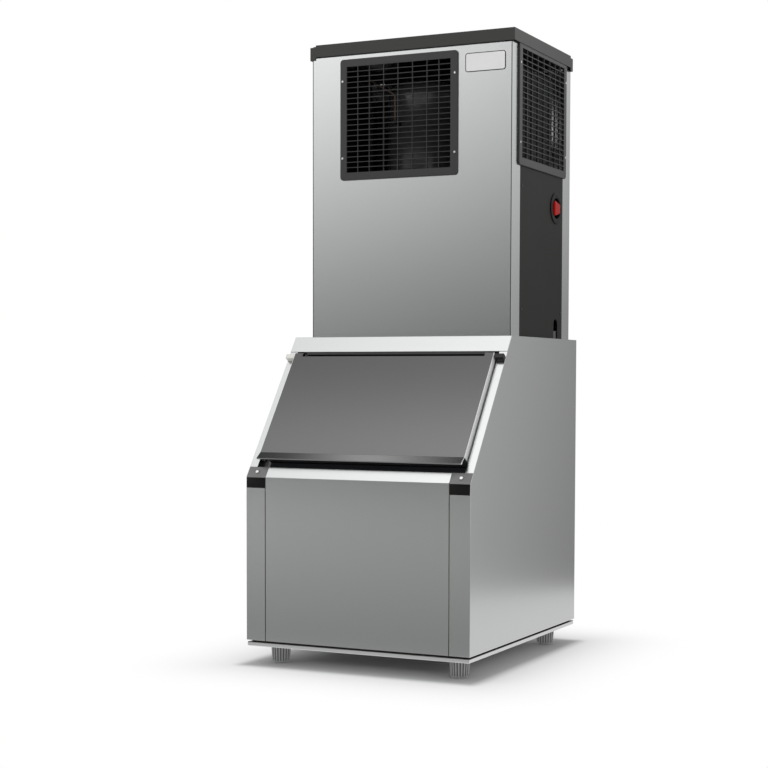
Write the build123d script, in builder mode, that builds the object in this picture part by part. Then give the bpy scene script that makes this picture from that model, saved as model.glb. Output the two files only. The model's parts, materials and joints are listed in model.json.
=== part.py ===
from build123d import *
from math import cos, hypot, pi, radians, sin
import os

os.makedirs("parts", exist_ok=True)

# Ice machine: an ice-making head that stands on an insulated storage bin.
# Frame: X to the right, Y from the front to the back, Z up, origin on the floor under the middle of the bin.

# Storage bin, main sizes
bin_width = 560.0
bin_depth = 650.0
foot_height = 43.5
base_height = 13.5
front_height = 375.0
bin_rise = 698.0
top_depth = 422.0
bin_wall = 35.0
roof_wall = 32.0
sheet = 1.2
seam = 0.5
fit_gap = 0.3
running_gap = 0.05

# Storage bin, folds and openings
post_width = 50.0
post_fold = 14.0
strip_width = 20.0
jamb_depth = 37.0
front_lip = 27.0
lip_return = 12.0
header_height = 43.8
liner_wall = 3.0
drop_width = 400.0
drop_front = 28.0
drop_length = 118.0
base_recess = 1.5
base_gap_recess = 9.5
base_gap_height = 4.0
base_flange = 78.0
base_sheet = 1.5
cap_drop = 25.0
cap_depth = 11.0

# Door
door_proud = 15.0
door_side_gap = 4.0
door_bottom = 58.0
door_top_gap = 13.6
door_notch_side = 22.0
door_notch_depth = 10.0
door_lip = 22.0
door_lip_flare = 18.0
door_hem = 6.0
hem_thickness = 3.4
door_core_depth = 31.0
door_core_drop = 14.0
gasket_width = 10.0
hinge_drop = 8.0
hinge_out = 7.5
hinge_block_foot = 5.0
hinge_block_head = 6.0
hinge_pin_radius = 3.95
hinge_pin_reach = 12.0
seal_height = 7.2
seal_depth = 6.0

# Levelling feet
foot_top_radius = 23.0
foot_bottom_radius = 20.5
foot_groove = 1.4
foot_ribs = 20
foot_pad_radius = 18.5
foot_pad_height = 2.5
foot_collar_height = 4.0
foot_inset = 53.0
foot_inset_along = 66.0
stud_radius = 5.0
foot_nut_radius = 10.0
foot_nut_height = 7.0

# Head, main sizes
head_width = 518.0
head_depth = 378.0
head_height = 667.5
lid_gap = 2.5
lid_height = 28.5
lid_overhang = 6.0
lid_sheet = 1.0
lid_step = 5.0
lid_tab = 15.0
lid_front_reach = 1.5
head_return = 50.0
joggle = 20.0
top_fold = 15.0
deck_height = 362.0
deck_fold = 14.0
base_fold = 20.0

# Grilles
grille_width = 306.0
grille_height = 285.0
grille_thickness = 4.5
grille_corner = 8.0
grille_rows = 20
grille_border = 17.2
grille_side_border = 16.8
grille_bar = 1.5
grille_chamfer = 1.2
narrow_column = 30.5
narrow_columns = 2
wide_columns = 4
grille_screw_inset = 6.6
grille_screw_z = 90.6
grille_open_margin = 1.5
front_grille_x = -29.0
front_grille_drop = 9.2
side_grille_y = 187.0
side_grille_rise = 20.8

# Trim on the head
badge_width = 100.0
badge_height = 43.0
badge_thickness = 1.0
badge_corner = 6.0
badge_inset = 66.6
badge_drop = 40.3
switch_y = 282.0
switch_drop = 45.0
switch_plate_radius = 37.5
switch_plate_thickness = 2.5
switch_dish_radius = 25.0
switch_dish_depth = 9.0
switch_dish_wall = 1.0
knob_length = 36.0
knob_tip_width = 22.0
knob_tail_width = 38.0
knob_corner = 6.0
knob_turn = 0.0
knob_base_radius = 17.0
knob_base_height = 5.0
knob_height = 9.0
switch_shaft_radius = 4.0
switch_body_size = 44.0
switch_body_depth = 36.0
running_fillet = 3.0
relief_y = 285.0
relief_width = 26.0
relief_height = 36.0

# Fasteners
screw_head_radius = 4.4
screw_head_height = 2.6
screw_dome = 1.5
screw_radius = 2.0
screw_length = 7.0
small_screw_head_radius = 2.6
small_screw_head_height = 1.2
panel_screw_inset = 13.0
panel_screw_rise = 64.0

# Cooling side, in the upper part of the head
compressor_x = -46.0
compressor_y = 190.0
compressor_radius = 95.0
compressor_headroom = 44.5
compressor_seam_height = 118.0
compressor_dome = 42.0
compressor_seam = 3.0
compressor_foot_spread = 88.0
terminal_width = 46.0
terminal_depth = 18.0
grommet_radius = 13.0
grommet_height = 22.0
condenser_depth = 230.0
condenser_headroom = 42.0
condenser_thickness = 38.0
condenser_front = 44.0
condenser_margin = 6.6
condenser_tail = 8.0
condenser_fins = 36
fin_thickness = 1.6
core_tube_radius = 4.5
core_tube_rows = 8
end_plate = 1.5
shroud_depth = 34.0
fan_margin = 17.0
fan_gap = 4.0
fan_hub_radius = 24.0
fan_hub_length = 22.0
fan_blades = 5
blade_thickness = 1.8
blade_pitch = 28.0
motor_radius = 36.0
motor_length = 58.0
motor_shaft_radius = 4.0
bracket_foot = 30.0
drier_radius = 14.0
drier_length = 110.0
drier_x = 170.0
drier_rise = 15.125
rear_run = 315.0
line_hole_x = 140.0
pipe_radius = 4.0
pipe_bend = 12.0
capillary_radius = 2.0
capillary_loop = 25.0
discharge_x = -74.0
discharge_y = 73.0
discharge_rise = 126.5
discharge_left = -190.0
discharge_drop = 20.5
discharge_rear = 303.0
suction_drop = 40.0
control_box_width = 96.0
control_box_depth = 52.0
control_box_headroom = 54.0
control_box_inset = 55.0
control_box_rise = 60.0

# Water side, in the lower part of the head
evaporator_width = 300.0
evaporator_height = 208.0
evaporator_y = 168.0
evaporator_rise = 100.0
cell_columns = 10
cell_rows = 7
cell_depth = 22.0
cell_wall = 2.0
cell_back = 2.0
coil_radius = 5.0
coil_runs = 5
evaporator_rail = 16.0
rail_front = 16.0
rail_back = 26.0
coil_reach = 120.0
distributor_radius = 11.0
distributor_rise = 15.0
distributor_wall = 2.0
spray_holes = 20
spray_radius = 1.2
curtain_gap = 10.0
curtain_thickness = 2.4
curtain_pin_radius = 3.0
curtain_hang = 262.0
curtain_top = 6.0
curtain_pin_rise = 27.5
sump_front = 158.0
sump_depth = 150.0
sump_height = 58.0
sump_wall = 2.5
sump_width = 420.0
pump_x = -178.0
pump_radius = 24.0
pump_body_height = 84.0
pump_stem_radius = 9.0
pump_y = 271.0
pump_flange = 3.0
pump_flange_width = 60.0
pump_stem_length = 50.0
pump_outlet_rise = 52.0
hose_radius = 6.0
hose_bend = 10.0
hose_knee_y = 223.0
hose_end_x = -150.0
float_x = 172.0
float_radius = 16.0
float_y = 233.0
float_depth = 22.0
float_pivot_y = 281.0
float_pivot_rise = 8.0
float_hub_radius = 5.0
float_pin_radius = 2.5
float_arm_radius = 2.5
valve_width = 28.0
valve_ear = 4.0
valve_height = 30.0
valve_depth = 27.0
valve_front = 288.0
valve_tube_y = 303.0
inlet_tube_radius = 5.0
inlet_tube_bend = 7.0
inlet_tube_run = 21.0

# Connections at the back
service_width = 220.0
service_height = 92.0
service_depth = 30.0
service_rise = 40.0
service_flange = 10.0
inlet_x = 85.0
gland_x = -70.0
inlet_radius = 13.2
inlet_length = 16.0
inlet_hex_radius = 17.0
inlet_hex_height = 5.0
inlet_bore = 8.0
inlet_tail = 12.0
gland_radius = 11.0
gland_nut_radius = 15.0
gland_nut_height = 8.0
gland_length = 20.0
gland_bore = 5.5
gland_thread = 9.0
drain_radius = 13.0
drain_bore = 10.0
drain_collar = 9.0
drain_flange = 8.0
drain_length = 40.0
drain_y = 90.0
drain_spigot = 26.5
drain_shoulder = 1.0

# Places worked out from the sizes above
front_y = -bin_depth / 2
back_y = bin_depth / 2
bin_x = bin_width / 2
bin_bottom = foot_height + base_height
bend_z = bin_bottom + front_height
bin_top_z = bin_bottom + bin_rise
slope_run = bin_depth - top_depth
slope_rise = bin_rise - front_height
slope_length = hypot(slope_run, slope_rise)
slope_cos = slope_run / slope_length
slope_sin = slope_rise / slope_length
slope = Plane(origin=(0, front_y, bend_z), x_dir=(1, 0, 0), z_dir=(0, -slope_sin, slope_cos))
header_foot = slope_length - header_height
door_top = header_foot - door_top_gap
door_core_top = door_top - door_core_drop
hinge_along = door_top - hinge_drop
jamb_x = bin_x - strip_width

head_x = head_width / 2
head_y0 = back_y - head_depth
head_y1 = back_y
head_z0 = bin_top_z
head_z1 = head_z0 + head_height
lid_z0 = head_z1 + lid_gap
lid_z1 = lid_z0 + lid_height
deck_z = head_z0 + deck_height
deck_top = deck_z + base_sheet
drop_y0 = head_y0 + drop_front
drop_y1 = drop_y0 + drop_length
drop_x = drop_width / 2


def slab(x0, x1, y0, y1, z0, z1, mode=Mode.ADD):
    """A block between two planes along each axis."""
    with Locations(((x0 + x1) / 2, (y0 + y1) / 2, (z0 + z1) / 2)):
        Box(x1 - x0, y1 - y0, z1 - z0, mode=mode)


def slope_slab(x0, x1, along0, along1, out0, out1, mode=Mode.ADD):
    """A block laid on the sloped front: along runs up the slope, out stands off it."""
    with BuildSketch(slope.offset(out0)) as outline:
        with Locations(((x0 + x1) / 2, (along0 + along1) / 2)):
            Rectangle(x1 - x0, along1 - along0)
    extrude(outline.sketch, amount=out1 - out0, mode=mode)


def slope_yz(along, out):
    """The (Y, Z) of a point that lies along the slope and stands off it."""
    return (
        front_y + along * slope_cos - out * slope_sin,
        bend_z + along * slope_sin + out * slope_cos,
    )


def side_profile(points, x0, x1, mode=Mode.ADD):
    """A plate with a (Y, Z) outline, from one X to another."""
    with BuildSketch(Plane.YZ.offset(x0)) as outline:
        with BuildLine():
            Polyline(*points, close=True)
        make_face()
    extrude(outline.sketch, amount=x1 - x0, mode=mode)


def rod(start, end, radius, mode=Mode.ADD):
    """A round bar from one point to another."""
    direction = Vector(*end) - Vector(*start)
    with BuildSketch(Plane(origin=start, z_dir=direction)) as section:
        Circle(radius)
    extrude(section.sketch, amount=direction.length, mode=mode)


def pipe(points, radius, bend):
    """A pipe of straight runs joined by equal bends."""
    with BuildLine() as route:
        FilletPolyline(*points, radius=bend)
    with BuildSketch(Plane(origin=route.line @ 0, z_dir=route.line % 0)) as section:
        Circle(radius)
    sweep(section.sketch, path=route.line)


def finish(part, label):
    """Name a piece and write it out."""
    part.part.label = label
    export_step(part.part, f"parts/{label}.step")


# Bin side panel: side sheet, front post, sloped strip and the jamb that turns in beside the door.
side_outline = [
    (front_y, bin_bottom),
    (front_y, bend_z),
    slope_yz(slope_length - sheet / slope_sin, 0),
    (back_y, bin_top_z - sheet),
    (back_y, bin_bottom),
]
with BuildPart() as right_side_panel:
    side_profile(side_outline, bin_x - sheet, bin_x)
    post_x = bin_x - post_width
    slab(post_x, bin_x, front_y, front_y + sheet, bin_bottom, bend_z - cap_drop)
    slab(post_x, post_x + sheet, front_y, front_y + post_fold, bin_bottom, bend_z - cap_drop)
    slope_slab(jamb_x, bin_x, front_lip, header_foot, -sheet, 0)
    slope_slab(jamb_x, jamb_x + sheet, front_lip, header_foot, -jamb_depth, 0)
finish(right_side_panel, "bin_right_panel")

with BuildPart() as left_side_panel:
    mirror(right_side_panel.part, about=Plane.YZ)
finish(left_side_panel, "bin_left_panel")

# Bin front panel: flat front whose top bends back along the slope and turns in at the opening.
front_x = bin_x - post_width - seam
with BuildPart() as front_panel:
    slab(-front_x, front_x, front_y, front_y + sheet, bin_bottom, bend_z)
    slope_slab(-front_x, front_x, 0, front_lip, -sheet, 0)
    slope_slab(-front_x, front_x, front_lip - sheet, front_lip, -lip_return, 0)
    for side in (-1, 1):
        edge = side * (front_x - sheet / 2)
        slab(edge - sheet / 2, edge + sheet / 2, front_y, front_y + post_fold, bin_bottom, bend_z - cap_drop)
finish(front_panel, "bin_front_panel")

# Corner caps over the two front posts, each held by one screw on its sloped face.
cap_x0 = post_x
cap_x1 = bin_x - sheet
cap_screw_x = (cap_x0 + bin_x) / 2
cap_screw_along = front_lip / 2
cap_outline = [
    (front_y, bend_z - cap_drop),
    (front_y, bend_z),
    slope_yz(front_lip, 0),
    slope_yz(front_lip, -lip_return),
    (front_y + cap_depth, bend_z - cap_drop),
]
with BuildPart() as right_corner_cap:
    side_profile(cap_outline, cap_x0, cap_x1)
    with BuildSketch(slope):
        with Locations((cap_screw_x, cap_screw_along)):
            Circle(screw_radius + running_gap)
    extrude(amount=-(screw_length + seam), mode=Mode.SUBTRACT)
finish(right_corner_cap, "corner_cap_right")

with BuildPart() as left_corner_cap:
    mirror(right_corner_cap.part, about=Plane.YZ)
finish(left_corner_cap, "corner_cap_left")

with BuildPart() as cap_screws:
    with BuildSketch(slope):
        with Locations((cap_screw_x, cap_screw_along), (-cap_screw_x, cap_screw_along)):
            Circle(screw_head_radius)
    extrude(amount=screw_head_height)
    fillet(cap_screws.edges().filter_by(GeomType.CIRCLE).group_by(Axis.Z)[-1], screw_dome)
    with BuildSketch(slope):
        with Locations((cap_screw_x, cap_screw_along), (-cap_screw_x, cap_screw_along)):
            Circle(screw_radius)
    extrude(amount=-screw_length)
finish(cap_screws, "corner_cap_screws")

# Bin top: plate with the ice drop cut through it, and the header strip folded down the slope.
header_turn = slope_yz(header_foot, 0)
top_outline = [
    slope_yz(header_foot, sheet),
    slope_yz(slope_length - (sheet * slope_cos) / slope_sin, sheet),
    (back_y, bin_top_z),
    (back_y, bin_top_z - sheet),
    slope_yz(slope_length - sheet / slope_sin, 0),
    header_turn,
]
with BuildPart() as bin_top:
    side_profile(top_outline, -bin_x, bin_x)
    slope_slab(-jamb_x, jamb_x, header_foot, header_foot + sheet, -jamb_depth, sheet)
    slab(-drop_x, drop_x, drop_y0, drop_y1, bin_top_z - sheet, bin_top_z, Mode.SUBTRACT)
finish(bin_top, "bin_top_cover")

with BuildPart() as bin_back:
    slab(-bin_x + sheet, bin_x - sheet, back_y - sheet, back_y, bin_bottom, bin_top_z - sheet)
finish(bin_back, "bin_back_panel")

# Base: folded tray set back under the bin, with a flange that carries the feet.
base_x = bin_x - base_recess
base_y0 = front_y + base_recess
base_y1 = back_y - base_recess
neck_inset = base_gap_recess - base_recess
skirt_top = bin_bottom - base_gap_height
foot_x = bin_x - foot_inset
foot_y = bin_depth / 2 - foot_inset_along
foot_places = {
    "front_left": (-foot_x, -foot_y),
    "front_right": (foot_x, -foot_y),
    "back_left": (-foot_x, foot_y),
    "back_right": (foot_x, foot_y),
}
drain_cy = back_y - drain_y
drain_tube_radius = drain_radius + drain_shoulder
drain_collar_radius = drain_radius + drain_collar
with BuildPart() as base_frame:
    slab(-base_x, base_x, base_y0, base_y1, foot_height, skirt_top)
    slab(
        -base_x + neck_inset, base_x - neck_inset,
        base_y0 + neck_inset, base_y1 - neck_inset,
        skirt_top, bin_bottom,
    )
    slab(
        -base_x + base_sheet, base_x - base_sheet,
        base_y0 + base_sheet, base_y1 - base_sheet,
        foot_height + base_sheet, skirt_top - base_sheet, Mode.SUBTRACT,
    )
    inner = neck_inset + base_sheet
    slab(
        -base_x + inner, base_x - inner, base_y0 + inner, base_y1 - inner,
        foot_height + base_sheet, bin_bottom - base_sheet, Mode.SUBTRACT,
    )
    slab(
        -base_x + base_flange, base_x - base_flange,
        base_y0 + base_flange, base_y1 - base_flange,
        foot_height, foot_height + base_sheet, Mode.SUBTRACT,
    )
    for place in foot_places.values():
        with BuildSketch(Plane.XY.offset(foot_height)):
            with Locations(place):
                Circle(foot_nut_radius)
        extrude(amount=foot_nut_height)
        with BuildSketch(Plane.XY.offset(foot_height)):
            with Locations(place):
                Circle(stud_radius + running_gap)
        extrude(amount=base_height, mode=Mode.SUBTRACT)
    with BuildSketch(Plane.XY.offset(foot_height)):
        with Locations((0, drain_cy)):
            Circle(drain_tube_radius + running_gap)
    extrude(amount=base_height, mode=Mode.SUBTRACT)
finish(base_frame, "bin_base_frame")


def star(radius):
    """Outline of a ribbed foot: ridges and grooves in turn around a circle."""
    points = []
    for index in range(2 * foot_ribs):
        angle = pi * index / foot_ribs
        reach = radius if index % 2 == 0 else radius - foot_groove
        points.append((reach * cos(angle), reach * sin(angle)))
    return points


# Levelling feet: a ribbed tapered foot on a pad, moulded in one with the stud that screws into the base.
collar_z = foot_height - foot_collar_height
for place_name, (place_x, place_y) in foot_places.items():
    with BuildPart() as foot:
        with BuildSketch(Plane.XY):
            with Locations((place_x, place_y)):
                Circle(foot_pad_radius)
        extrude(amount=foot_pad_height)
        with BuildSketch(Plane.XY.offset(foot_pad_height)):
            with BuildLine(Plane.XY.offset(foot_pad_height)):
                Polyline(*[(place_x + x, place_y + y) for x, y in star(foot_bottom_radius)], close=True)
            make_face()
        with BuildSketch(Plane.XY.offset(collar_z)):
            with BuildLine(Plane.XY.offset(collar_z)):
                Polyline(*[(place_x + x, place_y + y) for x, y in star(foot_top_radius)], close=True)
            make_face()
        loft(ruled=True)
        with BuildSketch(Plane.XY.offset(collar_z)):
            with Locations((place_x, place_y)):
                Circle(foot_top_radius)
        extrude(amount=foot_collar_height)
        with BuildSketch(Plane.XY.offset(foot_height)):
            with Locations((place_x, place_y)):
                Circle(stud_radius)
        extrude(amount=base_height - base_sheet - seam)
    finish(foot, f"foot_{place_name}")

# Bin underside sheet, between the side panels.
with BuildPart() as bin_bottom_panel:
    slab(
        -bin_x + sheet, bin_x - sheet,
        front_y + post_fold + seam, back_y - sheet,
        bin_bottom, bin_bottom + sheet,
    )
    with BuildSketch(Plane.XY.offset(bin_bottom)):
        with Locations((0, drain_cy)):
            Circle(drain_tube_radius)
    extrude(amount=sheet, mode=Mode.SUBTRACT)
finish(bin_bottom_panel, "bin_bottom_panel")

# Liner: moulded tub, open along the slope, with a rim flange for the door seal and a collar for falling ice.
liner_x = bin_x - bin_wall
liner_y0 = front_y + bin_wall
liner_y1 = back_y - bin_wall
liner_z0 = bin_bottom + bin_wall
liner_z1 = bin_top_z - roof_wall
rim_foot = (bin_wall - jamb_depth * slope_sin) / slope_cos
rim_head = (liner_z1 - bend_z + jamb_depth * slope_cos) / slope_sin
mouth_foot = door_bottom + gasket_width * 2
mouth_head = door_core_top - gasket_width
liner_outline = [
    (liner_y0, liner_z0),
    slope_yz(rim_foot, -jamb_depth),
    slope_yz(rim_head, -jamb_depth),
    (liner_y1, liner_z1),
    (liner_y1, liner_z0),
]
sill_outline = [
    slope_yz(rim_foot, -jamb_depth - liner_wall),
    slope_yz(rim_foot + 2 * liner_wall, -jamb_depth - liner_wall),
    slope_yz(front_lip, -lip_return),
    slope_yz(front_lip - liner_wall, -lip_return),
]
with BuildPart() as liner:
    side_profile(liner_outline, -liner_x, liner_x)
    slab(
        -liner_x + liner_wall, liner_x - liner_wall,
        liner_y0 + liner_wall, liner_y1 - liner_wall,
        liner_z0 + liner_wall, liner_z1 - liner_wall, Mode.SUBTRACT,
    )
    slope_slab(-jamb_x, jamb_x, rim_foot, rim_head, -jamb_depth - liner_wall, -jamb_depth)
    side_profile(sill_outline, -front_x, front_x)
    slope_slab(
        -liner_x + gasket_width / 2, liner_x - gasket_width / 2, mouth_foot, mouth_head,
        -jamb_depth - 2 * liner_wall, 0, Mode.SUBTRACT,
    )
    slab(
        -drop_x - liner_wall, drop_x + liner_wall,
        drop_y0 - liner_wall, drop_y1 + liner_wall,
        liner_z1 - liner_wall, bin_top_z - sheet,
    )
    slab(-drop_x, drop_x, drop_y0, drop_y1, liner_z1 - 2 * liner_wall, bin_top_z, Mode.SUBTRACT)
    with BuildSketch(Plane.XY.offset(liner_z0)):
        with Locations((0, drain_cy)):
            Circle(drain_collar_radius)
    extrude(amount=liner_wall, mode=Mode.SUBTRACT)
finish(liner, "bin_liner")

# Drain of the bin: a flanged tube from the liner's floor down through the base, with a collar in the floor.
drain_top = liner_z0 + liner_wall
with BuildPart() as drain:
    with BuildSketch(Plane.XY.offset(bin_bottom - drain_length)) as spigot:
        with Locations((0, drain_cy)):
            Circle(drain_radius)
    extrude(spigot.sketch, amount=drain_spigot)
    with BuildSketch(Plane.XY.offset(bin_bottom - drain_length + drain_spigot)) as drain_tube:
        with Locations((0, drain_cy)):
            Circle(drain_tube_radius)
    extrude(drain_tube.sketch, amount=drain_top - bin_bottom + drain_length - drain_spigot)
    with BuildSketch(Plane.XY.offset(liner_z0)):
        with Locations((0, drain_cy)):
            Circle(drain_collar_radius)
    extrude(amount=liner_wall)
    with BuildSketch(Plane.XY.offset(drain_top)):
        with Locations((0, drain_cy)):
            Circle(drain_collar_radius + drain_flange)
    extrude(amount=liner_wall / 2)
    with BuildSketch(Plane.XY.offset(bin_bottom - drain_length)):
        with Locations((0, drain_cy)):
            Circle(drain_bore)
    extrude(amount=drain_top - bin_bottom + drain_length + liner_wall, mode=Mode.SUBTRACT)
finish(drain, "bin_drain")

# Insulation: foam that fills the walls between the outer panels and the liner.
bend_along = sheet * (1 - slope_sin) / slope_cos
crest_along = (bin_top_z - sheet - bend_z + sheet * slope_cos) / slope_sin
foam_outline = [
    (front_y + sheet, bin_bottom + sheet),
    slope_yz(bend_along, -sheet),
    slope_yz(crest_along, -sheet),
    (back_y - sheet, bin_top_z - sheet),
    (back_y - sheet, bin_bottom + sheet),
]
with BuildPart() as foam:
    side_profile(foam_outline, -bin_x + sheet, bin_x - sheet)
    side_profile(liner_outline, -liner_x, liner_x, Mode.SUBTRACT)
    slope_slab(-jamb_x, jamb_x, front_lip - sheet, header_foot, -jamb_depth, 0, Mode.SUBTRACT)
    throat_outline = [
        slope_yz(rim_foot, -jamb_depth),
        slope_yz(front_lip, -jamb_depth),
        slope_yz(front_lip, 0),
        slope_yz(front_lip - sheet, 0),
        slope_yz(front_lip - sheet, -lip_return),
        slope_yz(front_lip - liner_wall, -lip_return),
    ]
    side_profile(throat_outline, -jamb_x, jamb_x, Mode.SUBTRACT)
    slab(
        -drop_x - liner_wall, drop_x + liner_wall,
        drop_y0 - liner_wall, drop_y1 + liner_wall,
        liner_z1 - liner_wall, bin_top_z, Mode.SUBTRACT,
    )
    with BuildSketch(Plane.XY.offset(bin_bottom)):
        with Locations((0, drain_cy)):
            Circle(drain_tube_radius)
    extrude(amount=bin_wall, mode=Mode.SUBTRACT)
    for neighbour in (
        right_side_panel, left_side_panel, front_panel, right_corner_cap, left_corner_cap,
        cap_screws, bin_top, liner,
    ):
        add(neighbour.part, mode=Mode.SUBTRACT)
    add(foam.solids().sort_by(SortBy.VOLUME)[-1], mode=Mode.REPLACE)
finish(foam, "bin_insulation")

# Door skin: folded pan with turned-down edges, a notch over the hinge line and the flared lip at the bottom.
door_x = jamb_x - door_side_gap
flare_cos = cos(radians(door_lip_flare))
flare_sin = sin(radians(door_lip_flare))


def lip_point(reach, under):
    """The (Y, Z) of a point that lies out along the door's lip and under its face."""
    return slope_yz(
        door_bottom - reach * flare_cos - under * flare_sin,
        door_proud + reach * flare_sin - under * flare_cos,
    )


lip_outline = [
    lip_point(0, 0),
    lip_point(door_lip, 0),
    lip_point(door_lip, hem_thickness),
    lip_point(door_lip - door_hem, hem_thickness),
    lip_point(door_lip - door_hem, sheet),
    lip_point(-sheet, sheet),
]
with BuildPart() as door_skin:
    slope_slab(-door_x, door_x, door_bottom, door_top, door_proud - sheet, door_proud)
    slope_slab(-door_x, door_x, door_top - sheet, door_top, fit_gap, door_proud)
    for x_in in (-door_x, door_x - sheet):
        slope_slab(x_in, x_in + sheet, door_bottom, door_top, fit_gap, door_proud)
    side_profile(lip_outline, -door_x, door_x)
    notch_x = door_x - door_notch_side
    slope_slab(
        -notch_x, notch_x, door_top - door_notch_depth, door_top + sheet,
        -fit_gap, door_proud + sheet, Mode.SUBTRACT,
    )
    hinge_y, hinge_z = slope_yz(hinge_along, hinge_out)
    rod((-bin_x, hinge_y, hinge_z), (bin_x, hinge_y, hinge_z), hinge_pin_radius + running_gap, Mode.SUBTRACT)
finish(door_skin, "door_skin")

# Door core: the insulated moulding that closes the door from inside.
core_x = door_x - sheet
core_foot = door_bottom + liner_wall
with BuildPart() as door_core:
    slope_slab(-core_x, core_x, core_foot, door_core_top, -door_core_depth, door_proud - sheet)
    inward = Axis((0, 0, 0), (0, slope_sin, -slope_cos))
    fillet(door_core.faces().sort_by(inward)[-1].edges(), liner_wall)
finish(door_core, "door_core")

with BuildPart() as door_gasket:
    slope_slab(
        -core_x + sheet, core_x - sheet, core_foot + sheet, door_core_top - sheet,
        -jamb_depth + fit_gap, -door_core_depth,
    )
    slope_slab(
        -core_x + sheet + gasket_width, core_x - sheet - gasket_width,
        core_foot + sheet + gasket_width, door_core_top - sheet - gasket_width,
        -jamb_depth, -door_core_depth, Mode.SUBTRACT,
    )
finish(door_gasket, "door_gasket")

# Hinge blocks at the top corners of the opening, and the two pins that the door turns on.
block_x0 = door_x + sheet
block_along0 = hinge_along - hinge_block_foot
block_along1 = hinge_along + hinge_block_head
block_out = door_proud - sheet
with BuildPart() as hinge_blocks:
    for side in (-1, 1):
        x_near, x_far = sorted((side * block_x0, side * (bin_x - fit_gap)))
        slope_slab(x_near, x_far, block_along0, block_along1, 0, block_out)
    rod(
        (-bin_x + post_fold, hinge_y, hinge_z), (bin_x - post_fold, hinge_y, hinge_z),
        hinge_pin_radius, Mode.SUBTRACT,
    )
finish(hinge_blocks, "door_hinge_blocks")

with BuildPart() as hinge_pins:
    for side in (-1, 1):
        rod(
            (side * (door_x - hinge_pin_reach), hinge_y, hinge_z),
            (side * (bin_x - post_fold), hinge_y, hinge_z),
            hinge_pin_radius,
        )
finish(hinge_pins, "door_hinge_pins")

# Wiper strip under the header, above the notch in the door.
with BuildPart() as header_seal:
    slope_slab(-notch_x, notch_x, header_foot - seal_height, header_foot, -seal_depth, 0)
finish(header_seal, "header_wiper_strip")

# Head, places shared by its panels, grilles and screws
front_post_y = head_y0 + head_return
back_post_y = head_y1 - head_return
front_grille_z = head_z1 - front_grille_drop - grille_height / 2
side_grille_z = front_grille_z + side_grille_rise
side_grille_cy = head_y0 + side_grille_y
switch_cy = head_y0 + switch_y
relief_cy = head_y0 + relief_y
switch_z = deck_z - switch_drop
switch_cup_radius = switch_dish_radius + switch_dish_wall
field_width = grille_width - 2 * grille_side_border
field_height = grille_height - 2 * grille_border
row_pitch = field_height / grille_rows
narrow_group = [narrow_column] * narrow_columns
wide_column = (field_width - 2 * sum(narrow_group)) / wide_columns
column_widths = narrow_group + [wide_column] * wide_columns + narrow_group
grille_screw_x = grille_width / 2 - grille_screw_inset
side_opening_foot = side_grille_z - field_height / 2 - grille_open_margin
front_face = Plane(origin=(front_grille_x, head_y0, front_grille_z), x_dir=(1, 0, 0), z_dir=(0, -1, 0))
side_face = Plane(origin=(head_x, side_grille_cy, side_grille_z), x_dir=(0, 1, 0), z_dir=(1, 0, 0))
grille_screws = [(x, z) for x in (-grille_screw_x, grille_screw_x) for z in (-grille_screw_z, grille_screw_z)]
panel_screws = [
    (front_post_y + panel_screw_inset, deck_z - panel_screw_inset),
    (front_post_y + panel_screw_inset, head_z0 + panel_screw_rise),
    (back_post_y - panel_screw_inset, head_z0 + panel_screw_rise),
]


def mirrored_slabs(x0, x1, y0, y1, z0, z1):
    """The same block on the right and on the left."""
    slab(x0, x1, y0, y1, z0, z1)
    slab(-x1, -x0, y0, y1, z0, z1)


def pierce(face, places, radius, depth):
    """Round holes sunk into a face at each place."""
    with BuildSketch(face) as holes:
        with Locations(*places):
            Circle(radius)
    extrude(holes.sketch, amount=-depth, mode=Mode.SUBTRACT)


# Head base pan: floor of the head with turned-up edges and the hole that the ice falls through.
pan_x = head_x - 2 * sheet
pan_y0 = head_y0 + sheet
pan_y1 = head_y1 - sheet
pan_top = head_z0 + base_sheet
with BuildPart() as base_pan:
    slab(-pan_x, pan_x, pan_y0, pan_y1, head_z0, head_z0 + base_fold)
    slab(
        -pan_x + base_sheet, pan_x - base_sheet, pan_y0 + base_sheet, pan_y1 - base_sheet,
        pan_top, head_z0 + base_fold, Mode.SUBTRACT,
    )
    slab(-drop_x, drop_x, drop_y0, drop_y1, head_z0, pan_top, Mode.SUBTRACT)
finish(base_pan, "head_base_pan")

flange_x0 = head_x - 2 * sheet
flange_x1 = head_x - sheet

# Head front panel: face, the two posts folded back from it and the flanges that the side panels screw to.
with BuildPart() as head_front:
    slab(-head_x, head_x, head_y0, head_y0 + sheet, head_z0, head_z1)
    mirrored_slabs(head_x - sheet, head_x, head_y0, front_post_y, head_z0, head_z1)
    mirrored_slabs(flange_x0, flange_x1, front_post_y - joggle, front_post_y + joggle, head_z0, head_z1)
    slab(-head_x + joggle, head_x - joggle, head_y0, head_y0 + top_fold, head_z1 - sheet, head_z1)
    with BuildSketch(front_face):
        Rectangle(field_width + 2 * grille_open_margin, field_height + 2 * grille_open_margin)
    extrude(amount=-sheet, mode=Mode.SUBTRACT)
    pierce(front_face, grille_screws, screw_radius, 2 * sheet)
    pierce(side_face, grille_screws, screw_radius, 3 * sheet)
    slab(
        head_x - 3 * sheet, head_x - sheet, front_post_y, front_post_y + joggle,
        side_opening_foot, head_z1, Mode.SUBTRACT,
    )
    for side in (-1, 1):
        side_plane = Plane(origin=(side * head_x, 0, 0), x_dir=(0, side, 0), z_dir=(side, 0, 0))
        pierce(side_plane, [(side * y, z) for y, z in panel_screws], screw_radius, 3 * sheet)
finish(head_front, "head_front_panel")

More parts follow.
